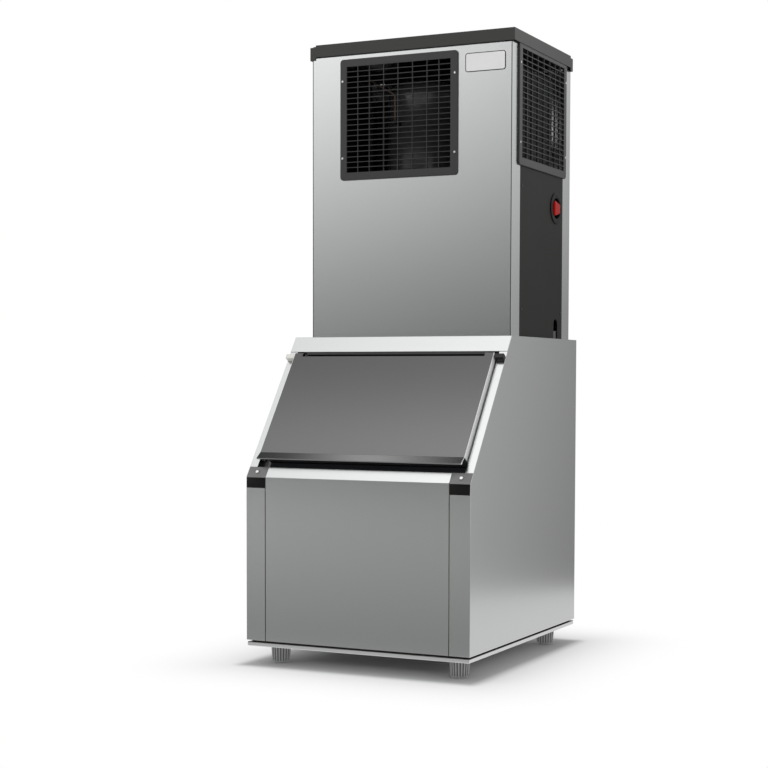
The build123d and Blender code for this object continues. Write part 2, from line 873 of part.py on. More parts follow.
# Head back panel: the same posts and flanges at the back, with an opening for the connections.
service_z0 = head_z0 + service_rise
service_z1 = service_z0 + service_height
service_x = service_width / 2
with BuildPart() as head_back:
    slab(-head_x, head_x, head_y1 - sheet, head_y1, head_z0, head_z1)
    mirrored_slabs(head_x - sheet, head_x, back_post_y, head_y1, head_z0, head_z1)
    mirrored_slabs(flange_x0, flange_x1, back_post_y - joggle, back_post_y + joggle, head_z0, head_z1)
    slab(-head_x + joggle, head_x - joggle, head_y1 - top_fold, head_y1, head_z1 - sheet, head_z1)
    slab(-service_x, service_x, head_y1 - sheet, head_y1, service_z0, service_z1, Mode.SUBTRACT)
    pierce(side_face, grille_screws, screw_radius, 3 * sheet)
    slab(
        head_x - 3 * sheet, head_x - sheet, back_post_y - joggle, back_post_y,
        side_opening_foot, head_z1, Mode.SUBTRACT,
    )
    for side in (-1, 1):
        side_plane = Plane(origin=(side * head_x, 0, 0), x_dir=(0, side, 0), z_dir=(side, 0, 0))
        pierce(side_plane, [(side * y, z) for y, z in panel_screws], screw_radius, 3 * sheet)
finish(head_back, "head_back_panel")

# Head side panels, set between the posts; the right one stops under the side grille and carries the switch.
right_plane = Plane(origin=(head_x, 0, 0), x_dir=(0, 1, 0), z_dir=(1, 0, 0))
left_plane = Plane(origin=(-head_x, 0, 0), x_dir=(0, -1, 0), z_dir=(-1, 0, 0))
side_y0 = front_post_y + seam
side_y1 = back_post_y - seam
with BuildPart() as head_right:
    slab(head_x - sheet, head_x, side_y0, side_y1, head_z0, side_opening_foot)
    with BuildSketch(right_plane):
        with Locations((relief_cy, head_z0 + relief_height / 2)):
            Rectangle(relief_width, relief_height)
        with Locations((relief_cy, head_z0 + relief_height)):
            Circle(relief_width / 2)
    extrude(amount=-sheet, mode=Mode.SUBTRACT)
    pierce(right_plane, [(switch_cy, switch_z)], switch_cup_radius, sheet)
    pierce(right_plane, panel_screws, screw_radius, sheet)
finish(head_right, "head_right_panel")

with BuildPart() as head_left:
    slab(-head_x, -head_x + sheet, side_y0, side_y1, head_z0, head_z1)
    pierce(left_plane, [(-y, z) for y, z in panel_screws], screw_radius, sheet)
finish(head_left, "head_left_panel")

# Lid seal: black strips between the head's top folds and the lid.
with BuildPart() as lid_seal:
    for y0, y1 in ((head_y0 + sheet, head_y0 + top_fold), (head_y1 - top_fold, head_y1 - sheet)):
        slab(-head_x + joggle, head_x - joggle, y0, y1, head_z1, lid_z0)
finish(lid_seal, "lid_seal_strips")

# Lid: folded cover that overhangs the sides, with a lowered tab at its front left and back right corners.
lid_x = head_x + lid_overhang
lid_y0 = head_y0 - lid_front_reach
lid_y1 = head_y1
with BuildPart() as lid:
    slab(-lid_x, lid_x, lid_y0, lid_y1, lid_z0, lid_z1)
    slab(
        -lid_x + lid_sheet, lid_x - lid_sheet, lid_y0 + lid_sheet, lid_y1 - lid_sheet,
        lid_z0, lid_z1 - lid_sheet, Mode.SUBTRACT,
    )
    for y0, y1 in ((lid_y0, head_y0 + top_fold), (head_y1 - top_fold, lid_y1)):
        slab(-head_x + joggle, head_x - joggle, y0, y1, lid_z0, lid_z0 + lid_sheet)
    for side_x, side_y in ((-lid_x, lid_y0), (lid_x, lid_y1)):
        tab_x = side_x - lid_tab if side_x > 0 else side_x + lid_tab
        tab_y = side_y - lid_tab if side_x > 0 else side_y + lid_tab
        x0, x1 = sorted((side_x, tab_x))
        y0, y1 = sorted((side_y, tab_y))
        slab(x0, x1, y0, y1, lid_z0, lid_z1, Mode.SUBTRACT)
        slab(x0, x1, y0, y1, lid_z0 - lid_step - lid_gap, lid_z1 - lid_step)
        inner_x0, inner_x1 = (x0, x1 - lid_sheet) if side_x > 0 else (x0 + lid_sheet, x1)
        inner_y0, inner_y1 = (y0, y1 - lid_sheet) if side_x > 0 else (y0 + lid_sheet, y1)
        slab(
            inner_x0, inner_x1, inner_y0, inner_y1,
            lid_z0 - lid_step - lid_gap, lid_z1 - lid_step - lid_sheet, Mode.SUBTRACT,
        )
        riser_z0 = lid_z1 - lid_step - lid_sheet
        x_wall = (tab_x - lid_sheet, tab_x) if side_x > 0 else (tab_x, tab_x + lid_sheet)
        y_wall = (tab_y - lid_sheet, tab_y) if side_x > 0 else (tab_y, tab_y + lid_sheet)
        slab(*x_wall, min(side_y, y_wall[0]), max(side_y, y_wall[1]), riser_z0, lid_z1)
        slab(min(side_x, x_wall[0]), max(side_x, x_wall[1]), *y_wall, riser_z0, lid_z1)
    slab(-head_x, head_x, head_y0, head_y1, lid_z0 - lid_step - lid_gap, lid_z0, Mode.SUBTRACT)
finish(lid, "head_lid")


# Grilles: the same louvre plate on the front and on the right side.
for grille_name, face in (("front_grille", front_face), ("side_grille", side_face)):
    with BuildPart() as louvre:
        with BuildSketch(face):
            RectangleRounded(grille_width, grille_height, grille_corner)
            left = -field_width / 2
            heights = [row_pitch * (row + 0.5) - field_height / 2 for row in range(grille_rows)]
            for width in column_widths:
                with Locations(*[(left + width / 2, height) for height in heights]):
                    Rectangle(width - grille_bar, row_pitch - grille_bar, mode=Mode.SUBTRACT)
                left += width
            with Locations(*grille_screws):
                Circle(screw_radius + running_gap, mode=Mode.SUBTRACT)
        extrude(amount=grille_thickness)
        rim = louvre.faces().sort_by(Axis(face.origin, face.z_dir))[-1].outer_wire().edges()
        chamfer(rim, grille_chamfer)
    finish(louvre, grille_name)

# Screws of the head: the same round-head screw holds the grilles and the side panels.
with BuildPart() as head_screws:
    for face, places, stand_off in (
        (front_face, grille_screws, grille_thickness),
        (side_face, grille_screws, grille_thickness),
        (right_plane, panel_screws, 0),
        (left_plane, [(-y, z) for y, z in panel_screws], 0),
    ):
        with BuildSketch(face.offset(stand_off)) as heads:
            with Locations(*places):
                Circle(small_screw_head_radius)
        extrude(heads.sketch, amount=small_screw_head_height)
        with BuildSketch(face.offset(stand_off)) as shanks:
            with Locations(*places):
                Circle(screw_radius)
        extrude(shanks.sketch, amount=-screw_length)
finish(head_screws, "head_screws")

# Plain badge plate on the front, and the switch with its dished round plate on the right side.
badge_x = head_x - badge_inset
badge_z = head_z1 - badge_drop
with BuildPart() as badge:
    with BuildSketch(Plane(origin=(badge_x, head_y0, badge_z), x_dir=(1, 0, 0), z_dir=(0, -1, 0))):
        RectangleRounded(badge_width, badge_height, badge_corner)
    extrude(amount=badge_thickness)
finish(badge, "badge_plate")

shaft_hole = switch_shaft_radius + running_gap
switch_face = Plane(origin=(head_x, switch_cy, switch_z), x_dir=(0, 1, 0), z_dir=(1, 0, 0))
dish_floor = switch_face.offset(-switch_dish_depth)
dish_back = dish_floor.offset(-switch_dish_wall)
with BuildPart() as switch_plate:
    with BuildSketch(switch_face):
        Circle(switch_plate_radius)
    extrude(amount=switch_plate_thickness)
    chamfer(switch_plate.faces().sort_by(Axis.X)[-1].edges(), switch_plate_thickness / 3)
    with BuildSketch(switch_face) as cup:
        Circle(switch_cup_radius)
    extrude(cup.sketch, amount=-switch_dish_depth - switch_dish_wall)
    pierce(
        switch_face.offset(switch_plate_thickness), [(0, 0)], switch_dish_radius,
        switch_plate_thickness + switch_dish_depth,
    )
    pierce(dish_floor, [(0, 0)], shaft_hole, switch_dish_wall)
finish(switch_plate, "switch_plate")

knob_face = dish_floor.offset(fit_gap)
with BuildPart() as knob:
    with BuildSketch(knob_face):
        Circle(knob_base_radius)
    extrude(amount=knob_base_height)
    with BuildSketch(knob_face.rotated((0, 0, knob_turn)).offset(knob_base_height)) as lever:
        with BuildLine():
            Polyline(
                (-knob_length / 2, -knob_tail_width / 2), (-knob_length / 2, knob_tail_width / 2),
                (knob_length / 2, knob_tip_width / 2), (knob_length / 2, -knob_tip_width / 2), close=True,
            )
        make_face()
        fillet(lever.vertices(), knob_corner)
    extrude(amount=knob_height)
    chamfer(knob.faces().sort_by(Axis.X)[-1].edges(), knob_height / 6)
    with BuildSketch(knob_face) as shaft:
        Circle(switch_shaft_radius)
    extrude(shaft.sketch, amount=-(fit_gap + switch_dish_wall + switch_body_depth / 2))
finish(knob, "switch_knob")

with BuildPart() as switch_body:
    with BuildSketch(dish_back):
        RectangleRounded(switch_body_size, switch_body_size, running_fillet)
    extrude(amount=-switch_body_depth)
    pierce(dish_back, [(0, 0)], shaft_hole, switch_body_depth / 2 + seam)
finish(switch_body, "switch_body")

# Deck: the shelf between the water side and the cooling side, with its edges turned down.
rear_run_y = head_y0 + rear_run
line_places = [(-line_hole_x, rear_run_y), (line_hole_x, rear_run_y)]
with BuildPart() as deck:
    slab(-pan_x, pan_x, pan_y0, pan_y1, deck_top - deck_fold, deck_top)
    slab(
        -pan_x + base_sheet, pan_x - base_sheet, pan_y0 + base_sheet, pan_y1 - base_sheet,
        deck_top - deck_fold, deck_z, Mode.SUBTRACT,
    )
    pierce(Plane.XY.offset(deck_top), line_places, coil_radius + seam, base_sheet)
    pierce(right_plane, panel_screws, screw_radius + running_gap, screw_length)
    pierce(left_plane, [(-y, z) for y, z in panel_screws], screw_radius + running_gap, screw_length)
finish(deck, "mid_deck")

# Compressor: two drawn steel pots welded at a rim, on a square foot plate and four rubber mounts.
compressor_cy = head_y0 + compressor_y
mount_places = [
    (compressor_x + sx * compressor_foot_spread, compressor_cy + sy * compressor_foot_spread)
    for sx in (-1, 1) for sy in (-1, 1)
]
foot_plate_z = deck_top + grommet_height
shell_z = foot_plate_z + compressor_seam
seam_z = shell_z + compressor_seam_height
with BuildPart() as compressor:
    with BuildSketch(Plane.XY.offset(shell_z)) as pot:
        with Locations((compressor_x, compressor_cy)):
            Circle(compressor_radius)
    extrude(pot.sketch, amount=head_z1 - compressor_headroom - shell_z)
    fillet(compressor.faces().sort_by(Axis.Z)[-1].edges(), compressor_dome)
    fillet(compressor.faces().sort_by(Axis.Z)[0].edges(), compressor_dome / 2)
    with BuildSketch(Plane.XY.offset(seam_z)) as weld:
        with Locations((compressor_x, compressor_cy)):
            Circle(compressor_radius + compressor_seam)
    extrude(weld.sketch, amount=compressor_seam)
    with BuildSketch(Plane.XY.offset(foot_plate_z)) as foot_plate:
        with Locations((compressor_x, compressor_cy)):
            RectangleRounded(
                2 * (compressor_foot_spread + grommet_radius), 2 * (compressor_foot_spread + grommet_radius),
                grommet_radius,
            )
    extrude(foot_plate.sketch, amount=compressor_seam)
    terminal_x = compressor_x - compressor_radius
    slab(
        terminal_x - terminal_depth / 2, terminal_x + terminal_depth,
        compressor_cy - terminal_width / 2, compressor_cy + terminal_width / 2,
        seam_z + 2 * compressor_seam, seam_z + 2 * compressor_seam + terminal_width,
    )
finish(compressor, "compressor")

with BuildPart() as mounts:
    with BuildSketch(Plane.XY.offset(deck_top)):
        with Locations(*mount_places):
            Circle(grommet_radius)
    extrude(amount=grommet_height)
finish(mounts, "compressor_mounts")

# Condenser: finned core beside the right grille, then its shroud, the fan and the motor on its bracket.
condenser_x0 = pan_x - condenser_margin - condenser_thickness
condenser_x1 = condenser_x0 + condenser_thickness
condenser_y0 = head_y0 + condenser_front
condenser_y1 = condenser_y0 + condenser_depth
condenser_cy = (condenser_y0 + condenser_y1) / 2
condenser_z1 = head_z1 - condenser_headroom
condenser_height = condenser_z1 - deck_top
fin_pitch = (condenser_depth - fin_thickness) / (condenser_fins - 1)
tube_pitch = condenser_height / core_tube_rows
tube_x = (condenser_x0 + condenser_x1) / 2
with BuildPart() as condenser:
    with Locations(*[
        (tube_x, condenser_y0 + fin_thickness / 2 + fin_pitch * index, deck_top + condenser_height / 2)
        for index in range(condenser_fins)
    ]):
        Box(condenser_thickness, fin_thickness, condenser_height)
    tube_zs = [deck_top + tube_pitch * (row + 0.5) for row in range(core_tube_rows)]
    for tube_z in tube_zs:
        rod(
            (tube_x, condenser_y0 - condenser_tail, tube_z), (tube_x, condenser_y1 + condenser_tail, tube_z),
            core_tube_radius,
        )
    for pair in range(core_tube_rows - 1):
        reach = condenser_tail - core_tube_radius
        end_y = condenser_y1 + reach if pair % 2 else condenser_y0 - reach
        rod((tube_x, end_y, tube_zs[pair]), (tube_x, end_y, tube_zs[pair + 1]), core_tube_radius - sheet)
finish(condenser, "condenser")

fan_z = deck_top + condenser_height / 2
fan_radius = min(condenser_depth, condenser_height) / 2 - fan_margin
shroud_x0 = condenser_x0 - shroud_depth
axis_face = Plane(origin=(shroud_x0, condenser_cy, fan_z), x_dir=(0, 1, 0), z_dir=(1, 0, 0))
with BuildPart() as shroud:
    slab(shroud_x0, condenser_x0, condenser_y0, condenser_y1, deck_top, condenser_z1)
    slab(
        shroud_x0 + end_plate, condenser_x0, condenser_y0 + end_plate, condenser_y1 - end_plate,
        deck_top + end_plate, condenser_z1 - end_plate, Mode.SUBTRACT,
    )
    with BuildSketch(axis_face) as throat:
        Circle(fan_radius + fan_gap)
    extrude(throat.sketch, amount=end_plate, mode=Mode.SUBTRACT)
finish(shroud, "condenser_shroud")

fan_x0 = shroud_x0 + fan_gap
blade_chord = (fan_hub_length - blade_thickness) / sin(radians(blade_pitch))
with BuildPart() as fan:
    fan_middle = Location((fan_x0 + fan_hub_length / 2, condenser_cy, fan_z))
    for index in range(fan_blades):
        turn = Location((0, 0, 0), (360 * index / fan_blades, 0, 0))
        lean = Location((0, 0, fan_radius / 2), (0, 0, 90 - blade_pitch))
        with Locations(fan_middle * turn * lean):
            Box(blade_chord, blade_thickness, fan_radius)
    with BuildSketch(axis_face.offset(fan_gap)) as hub:
        Circle(fan_hub_radius)
    extrude(hub.sketch, amount=fan_hub_length)
    with BuildSketch(axis_face.offset(fan_gap)) as sweep_disc:
        Circle(fan_radius)
    extrude(sweep_disc.sketch, amount=fan_hub_length, mode=Mode.INTERSECT)
    with BuildSketch(axis_face.offset(fan_gap)) as spindle:
        Circle(motor_shaft_radius)
    extrude(spindle.sketch, amount=-2 * fan_gap - end_plate - motor_length / 2 + seam)
finish(fan, "condenser_fan")

bracket_x1 = shroud_x0 - fan_gap
bracket_face = Plane(origin=(bracket_x1, condenser_cy, fan_z), x_dir=(0, 1, 0), z_dir=(1, 0, 0))
motor_bore = motor_shaft_radius + running_gap
with BuildPart() as motor:
    with BuildSketch(bracket_face.offset(-end_plate)) as can:
        Circle(motor_radius)
    extrude(can.sketch, amount=-motor_length)
    fillet(motor.edges().filter_by(GeomType.CIRCLE), motor_radius / 6)
    with BuildSketch(bracket_face) as socket:
        Circle(motor_bore)
    extrude(socket.sketch, amount=-end_plate - motor_length / 2, mode=Mode.SUBTRACT)
finish(motor, "fan_motor")

with BuildPart() as bracket:
    slab(
        bracket_x1 - end_plate, bracket_x1, condenser_cy - motor_radius, condenser_cy + motor_radius,
        deck_top, fan_z + motor_radius,
    )
    slab(
        bracket_x1 - bracket_foot, bracket_x1, condenser_cy - motor_radius, condenser_cy + motor_radius,
        deck_top, deck_top + end_plate,
    )
    with BuildSketch(bracket_face) as bracket_hole:
        Circle(2 * motor_shaft_radius)
    extrude(bracket_hole.sketch, amount=-end_plate, mode=Mode.SUBTRACT)
finish(bracket, "fan_motor_bracket")

# Refrigerant side: filter drier and the lines between compressor, condenser, drier and evaporator.
drier_z0 = tube_zs[0] + drier_rise
with BuildPart() as drier:
    with BuildSketch(Plane.XY.offset(drier_z0)):
        with Locations((drier_x, rear_run_y)):
            Circle(drier_radius)
    extrude(amount=drier_length)
    fillet(drier.edges().filter_by(GeomType.CIRCLE), drier_radius / 2)
finish(drier, "filter_drier")

# Evaporator: a grid of ice cells between two rails that hang from the deck.
evaporator_cy = head_y0 + evaporator_y
evaporator_z0 = pan_top + evaporator_rise
evaporator_z1 = evaporator_z0 + evaporator_height
evaporator_cz = (evaporator_z0 + evaporator_z1) / 2
cell_plane = Plane(origin=(0, evaporator_cy, evaporator_cz), x_dir=(1, 0, 0), z_dir=(0, -1, 0))
cell_width = (evaporator_width - cell_wall) / cell_columns
cell_height = (evaporator_height - cell_wall) / cell_rows
rail_x = evaporator_width / 2 + evaporator_rail
curtain_cy = evaporator_cy - curtain_gap - curtain_thickness / 2
curtain_pin_z = evaporator_z1 + curtain_pin_rise
with BuildPart() as evaporator:
    slab(-rail_x, rail_x, evaporator_cy, evaporator_cy + cell_depth + cell_back, evaporator_z0, evaporator_z1)
    with BuildSketch(cell_plane) as cells:
        with GridLocations(cell_width, cell_height, cell_columns, cell_rows):
            Rectangle(cell_width - cell_wall, cell_height - cell_wall)
    extrude(cells.sketch, amount=-cell_depth, mode=Mode.SUBTRACT)
    for side in (-1, 1):
        rail_x0, rail_x1 = sorted((side * (rail_x - base_sheet), side * rail_x))
        slab(rail_x0, rail_x1, evaporator_cy - rail_front, evaporator_cy + rail_back, evaporator_z0, deck_z)
    rod(
        (-rail_x, curtain_cy, curtain_pin_z), (rail_x, curtain_cy, curtain_pin_z),
        curtain_pin_radius + running_gap, Mode.SUBTRACT,
    )
finish(evaporator, "evaporator")

# Evaporator coil: one copper tube that zigzags behind the plate and climbs to the compressor.
coil_y = evaporator_cy + cell_depth + cell_back + coil_radius
coil_pitch = evaporator_height / coil_runs
coil_z = [evaporator_z0 + coil_pitch * (run + 0.5) for run in range(coil_runs)]
suction_z = seam_z - suction_drop
coil_points = [
    (line_hole_x, rear_run_y, coil_z[1]),
    (line_hole_x, rear_run_y, coil_z[0]),
    (line_hole_x, coil_y, coil_z[0]),
]
for run in range(coil_runs - 1):
    turn_x = coil_reach if run % 2 else -coil_reach
    coil_points += [(turn_x, coil_y, coil_z[run]), (turn_x, coil_y, coil_z[run + 1])]
coil_points += [
    (-line_hole_x, coil_y, coil_z[-1]),
    (-line_hole_x, rear_run_y, coil_z[-1]),
    (-line_hole_x, rear_run_y, suction_z),
    (compressor_x, rear_run_y, suction_z),
    (compressor_x, compressor_cy + compressor_radius, suction_z),
]
with BuildPart() as coil:
    pipe(coil_points, coil_radius, pipe_bend)
finish(coil, "evaporator_coil")

# Refrigerant lines: hot gas to the condenser, liquid to the drier, capillary down to the coil.
tail_y = condenser_y1 + condenser_tail
capillary_z = drier_z0 + drier_length + capillary_loop
hot_front_y = head_y0 + discharge_y
hot_rear_y = head_y0 + discharge_rear
discharge_z = shell_z + discharge_rise
discharge_top = head_z1 - discharge_drop
discharge_knee_z = (discharge_z + discharge_top) / 2
shell_reach = compressor_radius**2 - (discharge_x + pipe_radius - compressor_x) ** 2
hot_start_y = compressor_cy - shell_reach**0.5
with BuildPart() as lines:
    pipe(
        [
            (discharge_x, hot_start_y, discharge_z),
            (discharge_x, hot_front_y, discharge_z),
            (discharge_x, hot_front_y, discharge_knee_z),
            (discharge_left, hot_front_y, discharge_top),
            (discharge_left, hot_rear_y, discharge_top),
            (tube_x, hot_rear_y, discharge_top),
            (tube_x, hot_rear_y, tube_zs[-1]),
            (tube_x, tail_y, tube_zs[-1]),
        ],
        pipe_radius, pipe_bend,
    )
    pipe(
        [
            (tube_x, tail_y, tube_zs[0]), (tube_x, rear_run_y, tube_zs[0]),
            (drier_x, rear_run_y, tube_zs[0]), (drier_x, rear_run_y, drier_z0),
        ],
        pipe_radius, pipe_bend,
    )
    pipe(
        [
            (drier_x, rear_run_y, drier_z0 + drier_length), (drier_x, rear_run_y, capillary_z),
            (line_hole_x, rear_run_y, capillary_z), (line_hole_x, rear_run_y, coil_z[1]),
        ],
        capillary_radius, pipe_bend,
    )
finish(lines, "refrigerant_lines")

# Water distributor over the cells, and the curtain that hangs in front of them on its own pins.
distributor_y = evaporator_cy + cell_depth / 2
distributor_z = evaporator_z1 + distributor_rise
distributor_x = rail_x - base_sheet
with BuildPart() as distributor:
    rod(
        (-distributor_x, distributor_y, distributor_z), (distributor_x, distributor_y, distributor_z),
        distributor_radius,
    )
    rod(
        (-distributor_x + distributor_wall, distributor_y, distributor_z),
        (distributor_x - distributor_wall, distributor_y, distributor_z),
        distributor_radius - distributor_wall, Mode.SUBTRACT,
    )
    with BuildSketch(Plane.XY.offset(distributor_z - distributor_radius)) as sprays:
        with Locations((0, distributor_y)):
            with GridLocations(evaporator_width / spray_holes, 1, spray_holes, 1):
                Circle(spray_radius)
    extrude(sprays.sketch, amount=distributor_radius, mode=Mode.SUBTRACT)
finish(distributor, "water_distributor")

curtain_x = distributor_x - seam
with BuildPart() as curtain:
    slab(
        -curtain_x, curtain_x, curtain_cy - curtain_thickness / 2, curtain_cy + curtain_thickness / 2,
        curtain_pin_z - curtain_hang, curtain_pin_z + curtain_top,
    )
    rod((-rail_x, curtain_cy, curtain_pin_z), (rail_x, curtain_cy, curtain_pin_z), curtain_pin_radius)
finish(curtain, "water_curtain")

# Sump under the evaporator, with the pump that stands over its back edge.
sump_y0 = head_y0 + sump_front
sump_y1 = sump_y0 + sump_depth
sump_x = sump_width / 2
sump_top = pan_top + sump_height
with BuildPart() as sump:
    slab(-sump_x, sump_x, sump_y0, sump_y1, pan_top, sump_top)
    slab(
        -sump_x + sump_wall, sump_x - sump_wall, sump_y0 + sump_wall, sump_y1 - sump_wall,
        pan_top + sump_wall, sump_top, Mode.SUBTRACT,
    )
finish(sump, "water_sump")

pump_cy = head_y0 + pump_y
with BuildPart() as pump:
    slab(
        pump_x - pump_flange_width / 2, pump_x + pump_flange_width / 2,
        pump_cy - pump_radius, sump_y1, sump_top, sump_top + pump_flange,
    )
    rod((pump_x, pump_cy, sump_top), (pump_x, pump_cy, sump_top + pump_body_height), pump_radius)
    rod((pump_x, pump_cy, sump_top - pump_stem_length), (pump_x, pump_cy, sump_top), pump_stem_radius)
finish(pump, "water_pump")

# Float valve on the sump's back edge and the arm that its float swings on.
pivot_y = head_y0 + float_pivot_y
pivot_z = sump_top + float_pivot_rise
valve_y0 = head_y0 + valve_front
with BuildPart() as valve:
    slab(
        float_x - valve_width / 2, float_x + valve_width / 2,
        valve_y0, valve_y0 + valve_depth, sump_top, sump_top + valve_height,
    )
    for ear_x in (float_x - valve_width / 2, float_x + valve_width / 2 - valve_ear):
        slab(
            ear_x, ear_x + valve_ear, pivot_y - 2 * float_pin_radius, valve_y0,
            sump_top, pivot_z + 2 * float_pin_radius,
        )
    rod(
        (float_x - valve_width / 2, pivot_y, pivot_z), (float_x + valve_width / 2, pivot_y, pivot_z),
        float_pin_radius + running_gap, Mode.SUBTRACT,
    )
finish(valve, "float_valve")

float_cy = head_y0 + float_y
pin_x = valve_width / 2
float_z = sump_top - float_depth
hub_x = valve_width / 2 - valve_ear - seam
with BuildPart() as float_arm:
    rod((float_x - pin_x, pivot_y, pivot_z), (float_x + pin_x, pivot_y, pivot_z), float_pin_radius)
    rod((float_x - hub_x, pivot_y, pivot_z), (float_x + hub_x, pivot_y, pivot_z), float_hub_radius)
    rod((float_x, pivot_y, pivot_z), (float_x, float_cy, float_z), float_arm_radius)
    with Locations((float_x, float_cy, float_z)):
        Sphere(float_radius)
finish(float_arm, "float_arm")

# Connections at the back: a recessed plate with the water inlet and the cable gland.
plate_y0 = head_y1 - service_depth - sheet
plate_y1 = head_y1 - sheet
service_z = (service_z0 + service_z1) / 2
plate_face = Plane(origin=(0, plate_y0 + sheet, service_z), x_dir=(-1, 0, 0), z_dir=(0, 1, 0))
with BuildPart() as connection_plate:
    slab(-service_x, service_x, plate_y0, plate_y1, service_z0, service_z1)
    slab(
        -service_x - service_flange, service_x + service_flange, plate_y1 - sheet, plate_y1,
        service_z0 - service_flange, service_z1 + service_flange,
    )
    slab(
        -service_x + sheet, service_x - sheet, plate_y0 + sheet, plate_y1,
        service_z0 + sheet, service_z1 - sheet, Mode.SUBTRACT,
    )
    pierce(plate_face, [(-inlet_x, 0)], inlet_bore + distributor_wall, sheet)
    pierce(plate_face, [(-gland_x, 0)], gland_thread, sheet)
finish(connection_plate, "connection_plate")

with BuildPart() as inlet:
    with BuildSketch(plate_face) as inlet_hex:
        with Locations((-inlet_x, 0)):
            RegularPolygon(inlet_hex_radius, 6)
    extrude(inlet_hex.sketch, amount=inlet_hex_height)
    with BuildSketch(plate_face) as inlet_thread:
        with Locations((-inlet_x, 0)):
            Circle(inlet_radius)
    extrude(inlet_thread.sketch, amount=inlet_hex_height + inlet_length)
    with BuildSketch(plate_face) as inlet_spigot:
        with Locations((-inlet_x, 0)):
            Circle(inlet_bore + distributor_wall)
    extrude(inlet_spigot.sketch, amount=-inlet_tail)
    with BuildSketch(plate_face.offset(inlet_hex_height + inlet_length)) as inlet_hole:
        with Locations((-inlet_x, 0)):
            Circle(inlet_bore)
    extrude(inlet_hole.sketch, amount=-inlet_hex_height - inlet_length - inlet_tail, mode=Mode.SUBTRACT)
finish(inlet, "water_inlet")

with BuildPart() as gland:
    with BuildSketch(plate_face) as gland_nut:
        with Locations((-gland_x, 0)):
            RegularPolygon(gland_nut_radius, 6)
    extrude(gland_nut.sketch, amount=gland_nut_height)
    with BuildSketch(plate_face) as gland_cap:
        with Locations((-gland_x, 0)):
            Circle(gland_radius)
    extrude(gland_cap.sketch, amount=gland_length)
    fillet(gland.faces().sort_by(Axis.Y)[-1].edges(), gland_radius / 3)
    with BuildSketch(plate_face) as gland_shank:
        with Locations((-gland_x, 0)):
            Circle(gland_thread)
    extrude(gland_shank.sketch, amount=-inlet_tail)
    with BuildSketch(plate_face.offset(gland_length)) as gland_hole:
        with Locations((-gland_x, 0)):
            Circle(gland_bore)
    extrude(gland_hole.sketch, amount=-gland_length - inlet_tail, mode=Mode.SUBTRACT)
finish(gland, "cable_gland")

# Tubes of the water side: pump to distributor, and inlet to float valve.
hose_y = head_y0 + hose_knee_y
tube_knee_y = head_y0 + valve_tube_y
inlet_end_y = plate_y0 + sheet - inlet_tail
tube_top = sump_top + valve_height + 2 * inlet_tube_bend
outlet_z = sump_top + pump_outlet_rise
with BuildPart() as tubes:
    pipe(
        [
            (pump_x, pump_cy - pump_radius, outlet_z), (pump_x, hose_y, outlet_z),
            (pump_x, hose_y, distributor_z), (hose_end_x, hose_y, distributor_z),
            (hose_end_x, distributor_y + distributor_radius, distributor_z),
        ],
        hose_radius, hose_bend,
    )
    pipe(
        [
            (inlet_x, inlet_end_y, service_z),
            (inlet_x, inlet_end_y - inlet_tube_run, service_z),
            (inlet_x, inlet_end_y - inlet_tube_run, tube_top), (float_x, tube_knee_y, tube_top),
            (float_x, tube_knee_y, sump_top + valve_height),
        ],
        inlet_tube_radius, inlet_tube_bend,
    )
finish(tubes, "water_tubes")

# Control box on the inside of the back panel.
control_box_x = control_box_inset - head_x
with BuildPart() as control_box:
    slab(
        control_box_x - control_box_width / 2, control_box_x + control_box_width / 2,
        head_y1 - sheet - control_box_depth, head_y1 - sheet,
        deck_top + control_box_rise, head_z1 - control_box_headroom,
    )
    fillet(control_box.edges().filter_by(Axis.Y), running_fillet)
finish(control_box, "control_box")
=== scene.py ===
import json
import logging
import math
from dataclasses import dataclass, field
from enum import Enum
from typing import Any, Callable, Iterable, Optional, Union

import bmesh
import bpy
from mathutils import Matrix, Vector


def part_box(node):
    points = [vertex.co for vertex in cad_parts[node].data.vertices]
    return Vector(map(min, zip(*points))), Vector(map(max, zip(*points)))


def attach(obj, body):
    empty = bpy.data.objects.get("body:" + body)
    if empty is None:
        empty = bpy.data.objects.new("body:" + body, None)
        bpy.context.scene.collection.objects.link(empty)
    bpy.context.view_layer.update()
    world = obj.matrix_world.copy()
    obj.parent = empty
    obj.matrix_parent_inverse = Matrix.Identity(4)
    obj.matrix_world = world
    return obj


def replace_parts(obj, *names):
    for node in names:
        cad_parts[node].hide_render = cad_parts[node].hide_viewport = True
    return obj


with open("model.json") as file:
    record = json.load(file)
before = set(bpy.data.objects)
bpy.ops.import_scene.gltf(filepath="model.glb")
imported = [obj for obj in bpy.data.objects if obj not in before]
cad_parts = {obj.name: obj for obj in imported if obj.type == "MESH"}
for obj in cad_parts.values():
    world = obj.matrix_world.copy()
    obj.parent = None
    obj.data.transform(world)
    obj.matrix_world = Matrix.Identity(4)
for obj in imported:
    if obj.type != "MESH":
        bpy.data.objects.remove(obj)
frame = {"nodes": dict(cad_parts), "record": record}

logging.basicConfig(level=logging.INFO, format="%(message)s")
log = logging.getLogger("ice_machine")

Colour = tuple[float, float, float]
Value = Union[float, "Socket"]
NODES: dict[str, bpy.types.Object] = frame["nodes"]


class Grain(Enum):
    """The direction that a sheet was brushed in: the axis its scratches run along."""

    ACROSS = (1.0, 60.0, 60.0)
    UPRIGHT = (60.0, 60.0, 1.0)


class Body(Enum):
    """The rigid bodies that pieces ride on."""

    CABINET = "cabinet"
    DOOR = "door"
    KNOB = "switch_knob"


